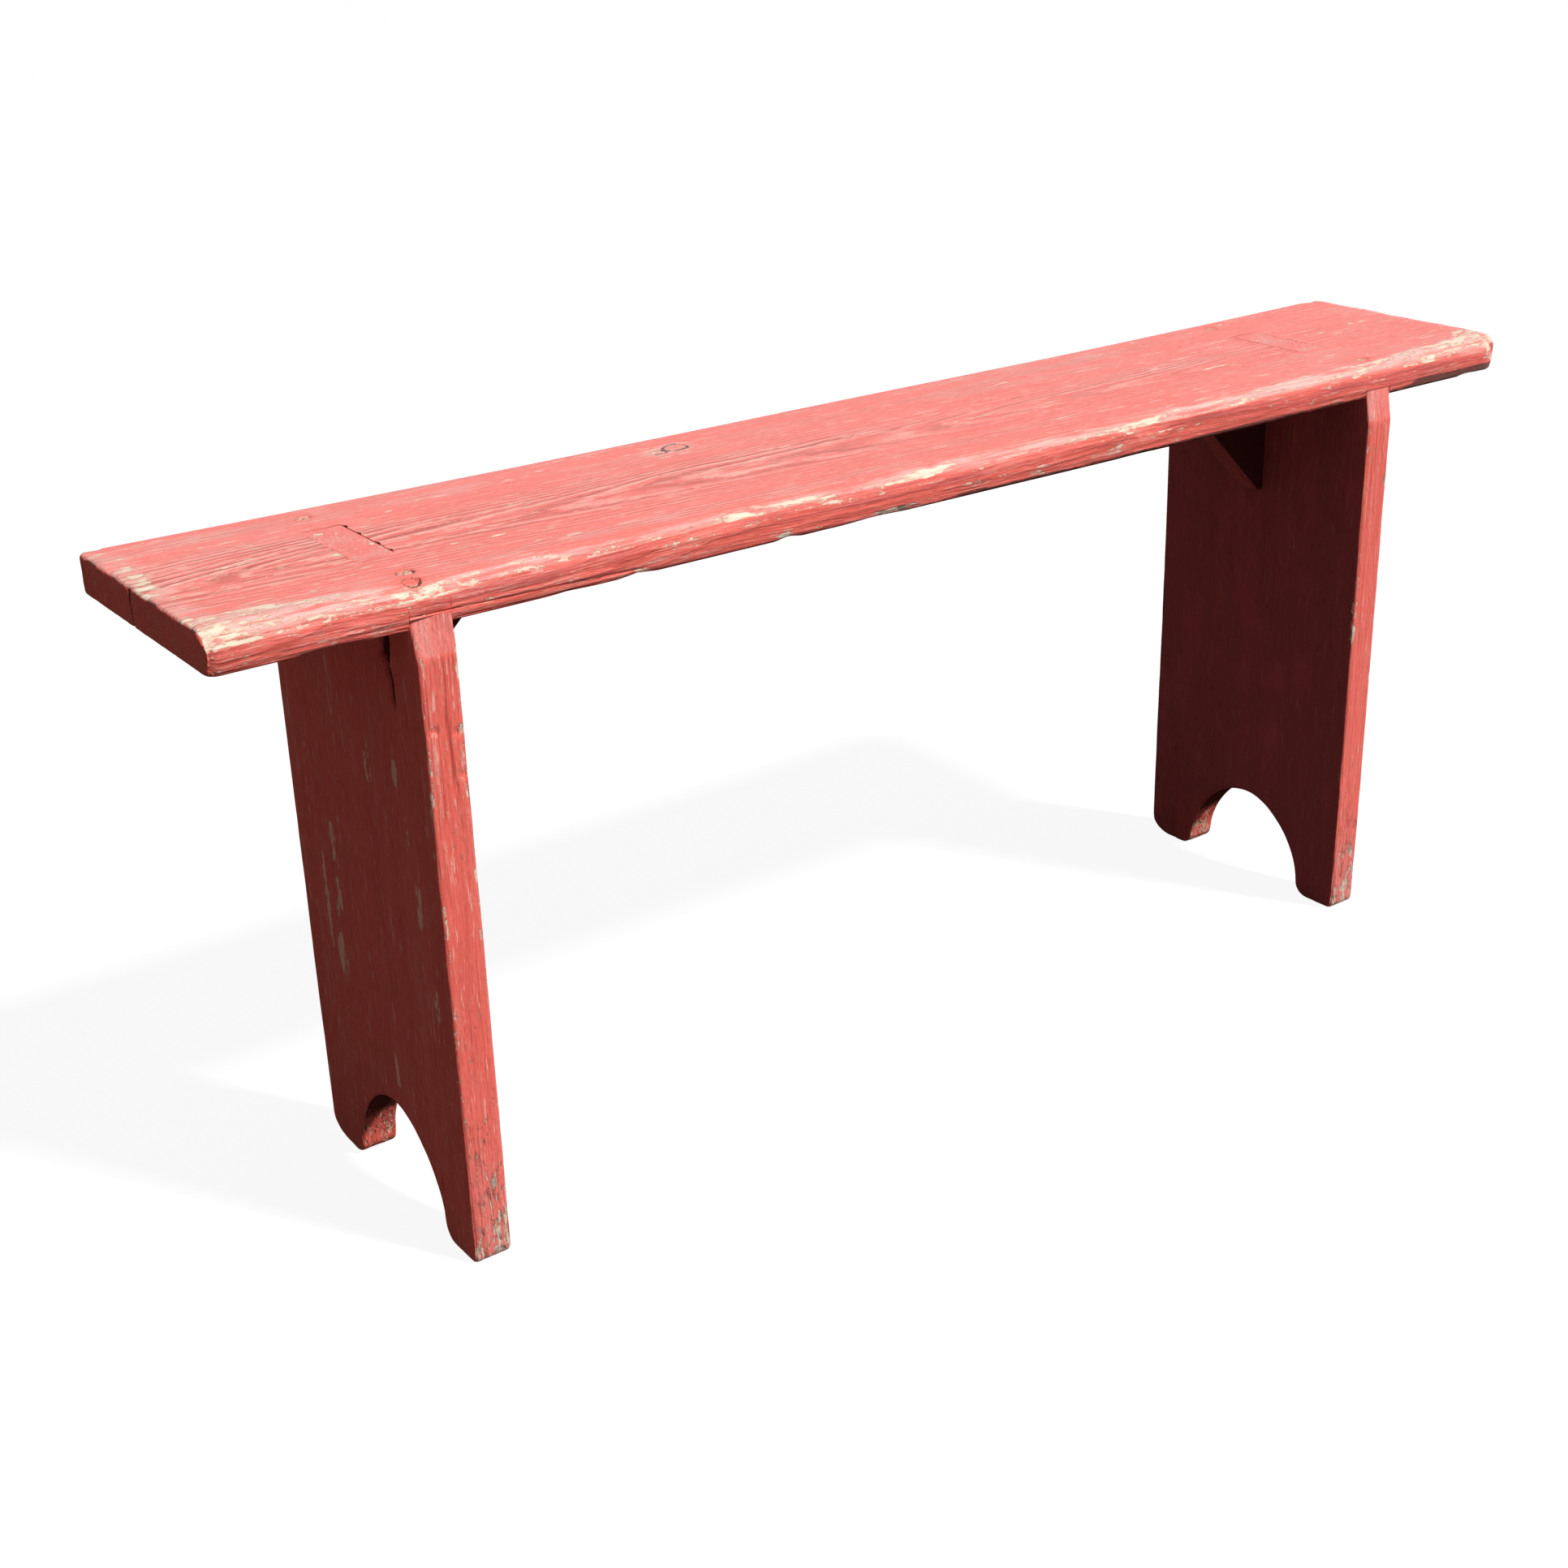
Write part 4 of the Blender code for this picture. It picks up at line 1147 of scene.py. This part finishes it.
    height = scaled(fibre, 0.7, times(fine, 0.3))
    for part, amount in ((ridge, 0.9), (groove, -0.4), (bare, -0.25), (soiled_and_shaded, -0.45)):
        height = scaled(part, amount, height)
    roughness = scaled(flake, 0.3, 0.34)
    # The shaded copy has no reflection.
    finish_material(tree, colour, roughness, height, 0.0011, 0.25 if sunny else 0.0)
    return material


def paint_pair(name, *place):
    """A lit copy and a shaded copy of the paint, for the faces in the sun and the faces out of it."""
    worn = painted_wood(f"{name}_worn", *place)
    return [worn, painted_wood(f"{name}_sheltered", *place, sunny=False)]


def rusted_iron(name, c):
    """Dull nail iron: rust blotches, bits of old paint and dust in its dents."""
    material, tree = new_material(name)
    place = add_node(tree, "TexCoord").outputs["Object"]
    blotch, grit = add_noise(tree, place, 420.0, 4.0), add_noise(tree, place, 1500.0)
    colour = add_mix(tree, add_step(tree, blotch, 0.4, 0.52), c.iron, c.stained_wood)
    colour = add_mix(tree, add_step(tree, grit, 0.55, 0.7), colour, c.grime_and_shade)
    roughness = add_math(tree, "MULTIPLY_ADD", grit, 0.3, 0.55)
    height = add_math(tree, "ADD", blotch, add_math(tree, "MULTIPLY", grit, 0.4))
    finish_material(tree, colour, roughness, height, 0.0003, 0.3)
    return material


def pale_light(tree):
    """1 for rays from the camera and for rays mirrored or passed on, which see the white studio."""
    path = add_node(tree, "LightPath").outputs
    seen = add_math(tree, "ADD", path["Is Camera Ray"], path["Is Glossy Ray"])
    return add_math(tree, "ADD", seen, path["Is Transmission Ray"], clamp=True)


def studio_floor(name):
    """A plain pale floor that keeps a soft shadow and throws little light back."""
    material, tree = new_material(name)
    speckle = add_noise(tree, add_node(tree, "TexCoord").outputs["Object"], 2.0)
    seen = add_node(tree, "BsdfDiffuse", {"Color": add_mix(tree, speckle, (0.1,) * 3, (0.11,) * 3)})
    glow = add_node(tree, "Emission", {"Color": (1, 1, 1), "Strength": 0.92})
    white = add_node(tree, "AddShader", {0: seen.outputs[0], 1: glow.outputs[0]})
    plain = add_node(tree, "BsdfDiffuse", {"Color": (0.1, 0.095, 0.09)})
    inputs = {0: pale_light(tree), 1: plain.outputs[0], 2: white.outputs[0]}
    mixed = add_node(tree, "MixShader", inputs)
    add_node(tree, "OutputMaterial", {"Surface": mixed.outputs[0]})
    return material


# Operators


class BENCH_OT_seat(bpy.types.Operator):
    """Build the worn seat board"""

    bl_idname = "bench.seat"
    bl_label = "Seat Board"

    def execute(self, context):
        scene = context.scene
        pith, tilt = (0, 0.02, -0.415), (0, 0.035, 0.01)
        paints = paint_pair("seat_paint", scene.bench_finish, (1, 0, 0), pith, tilt)
        build_seat(scene.bench_seat, paints)
        return {"FINISHED"}


class BENCH_OT_legs(bpy.types.Operator):
    """Build both board legs"""

    bl_idname = "bench.legs"
    bl_label = "Board Legs"

    def execute(self, context):
        scene = context.scene
        for side, pith in (("left", (0.36, 0.01, 0)), ("right", (-0.44, -0.02, 0))):
            name, tilt = f"leg_{side}_paint", (0.03, 0.05, 0)
            paints = paint_pair(name, scene.bench_finish, (0, 0, 1), pith, tilt)
            build_leg(scene.bench_leg, scene.bench_seat, side, paints)
        return {"FINISHED"}


class BENCH_OT_braces(bpy.types.Operator):
    """Build both corner braces"""

    bl_idname = "bench.braces"
    bl_label = "Corner Braces"

    def execute(self, context):
        scene = context.scene
        place = (0, 0, 1), (0.3, 0.03, 0), (0, 0.8, 0)
        # The braces get only the shaded copy of the paint.
        paint = painted_wood("brace_paint_worn", scene.bench_finish, *place, sunny=False)
        for side in BRACE_BOXES:
            build_brace(scene.bench_brace, side, [paint])
        return {"FINISHED"}


class BENCH_OT_nails(bpy.types.Operator):
    """Build the seat's nails and finish the braces' nails"""

    bl_idname = "bench.nails"
    bl_label = "Nails"

    def execute(self, context):
        scene = context.scene
        iron = rusted_iron("nail_iron_rusted", scene.bench_finish)
        for node in SEAT_NAILS:
            build_seat_nail(scene.bench_nail, node, [iron])
        for node in BRACE_NAILS:
            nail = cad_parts[node]
            nail.data.materials.clear()
            nail.data.materials.append(iron)
        return {"FINISHED"}


class BENCH_OT_studio(bpy.types.Operator):
    """Set up the floor, the light and the camera"""

    bl_idname = "bench.studio"
    bl_label = "Studio"

    def execute(self, context):
        scene = context.scene
        s = scene.bench_studio
        half = s.floor_size / 2
        corners = [(-half, -half, 0), (half, -half, 0), (half, half, 0), (-half, half, 0)]
        mesh = bpy.data.meshes.new("studio_floor")
        mesh.from_pydata(corners, [], [(0, 1, 2, 3)])
        mesh.materials.append(studio_floor("studio_floor_white"))
        floor = add_object("studio_floor", mesh)
        floor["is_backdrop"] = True

        lamp = bpy.data.lights.new("studio_lamp", "SUN")
        lamp.energy = s.sun_strength
        lamp.angle = s.sun_size
        lamp.color = (1.0, 0.985, 0.965)
        sun = add_object("studio_lamp", lamp)
        level = math.cos(s.sun_elevation)
        level_x, level_y = level * math.sin(s.sun_azimuth), -level * math.cos(s.sun_azimuth)
        towards = Vector((level_x, level_y, math.sin(s.sun_elevation)))
        sun.rotation_euler = towards.to_track_quat("Z", "Y").to_euler()
        sun.location = towards * 3

        world = bpy.data.worlds.new("studio_light")
        world.use_nodes = True
        tree = world.node_tree
        tree.nodes.clear()
        sky = s.sky_strength
        strength = add_math(tree, "MULTIPLY_ADD", pale_light(tree), 1 - sky, sky)
        light = add_node(tree, "Background", {"Color": (1, 1, 1), "Strength": strength})
        add_node(tree, "OutputWorld", {"Surface": light.outputs[0]})
        scene.world = world

        view = bpy.data.cameras.new("camera")
        view.lens = s.lens
        view.sensor_width = 36
        view.sensor_fit = "HORIZONTAL"
        view.clip_start = 0.05
        camera = add_object("camera", view)
        place = Vector(s.camera_place)
        back = (place - Vector(s.camera_target)).normalized()
        right = Vector((0, 0, 1)).cross(back).normalized()
        up = back.cross(right)
        turn = Matrix((right, up, back)).transposed() @ Matrix.Rotation(s.camera_roll, 3, "Z")
        camera.matrix_world = Matrix.Translation(place) @ turn.to_4x4()
        scene.camera = camera
        scene.view_settings.view_transform = "Standard"
        return {"FINISHED"}


class BENCH_PT_panel(bpy.types.Panel):
    """The bench's settings and its build buttons"""

    bl_idname = "BENCH_PT_panel"
    bl_label = "Worn Plank Bench"
    bl_space_type = "VIEW_3D"
    bl_region_type = "UI"
    bl_category = "Bench"

    def draw(self, context):
        for group in GROUPS:
            box = self.layout.box()
            if group in OPERATORS:
                box.operator(OPERATORS[group].bl_idname)
            settings = getattr(context.scene, group)
            for name in settings.__annotations__:
                box.prop(settings, name)


OPERATORS = {
    "bench_seat": BENCH_OT_seat,
    "bench_leg": BENCH_OT_legs,
    "bench_brace": BENCH_OT_braces,
    "bench_nail": BENCH_OT_nails,
    "bench_studio": BENCH_OT_studio,
}
GROUPS = {
    "bench_seat": SeatSettings,
    "bench_leg": LegSettings,
    "bench_brace": BraceSettings,
    "bench_nail": NailSettings,
    "bench_finish": FinishSettings,
    "bench_studio": StudioSettings,
}
CLASSES = (*GROUPS.values(), *OPERATORS.values(), BENCH_PT_panel)


def register():
    """Registers the classes and gives each scene its settings."""
    for item in CLASSES:
        bpy.utils.register_class(item)
    for name, group in GROUPS.items():
        setattr(bpy.types.Scene, name, bpy.props.PointerProperty(type=group))


def unregister():
    """Takes the settings and the classes away again."""
    for name in GROUPS:
        delattr(bpy.types.Scene, name)
    for item in reversed(CLASSES):
        bpy.utils.unregister_class(item)


def main():
    register()
    bpy.ops.bench.seat()
    bpy.ops.bench.legs()
    bpy.ops.bench.braces()
    bpy.ops.bench.nails()
    bpy.ops.bench.studio()
    boxes = {"cad": CAD_BOUNDS, "visual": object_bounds()}
    sizes = {name: [list(corner) for corner in box] for name, box in boxes.items()}


if __name__ == "__main__":
    main()
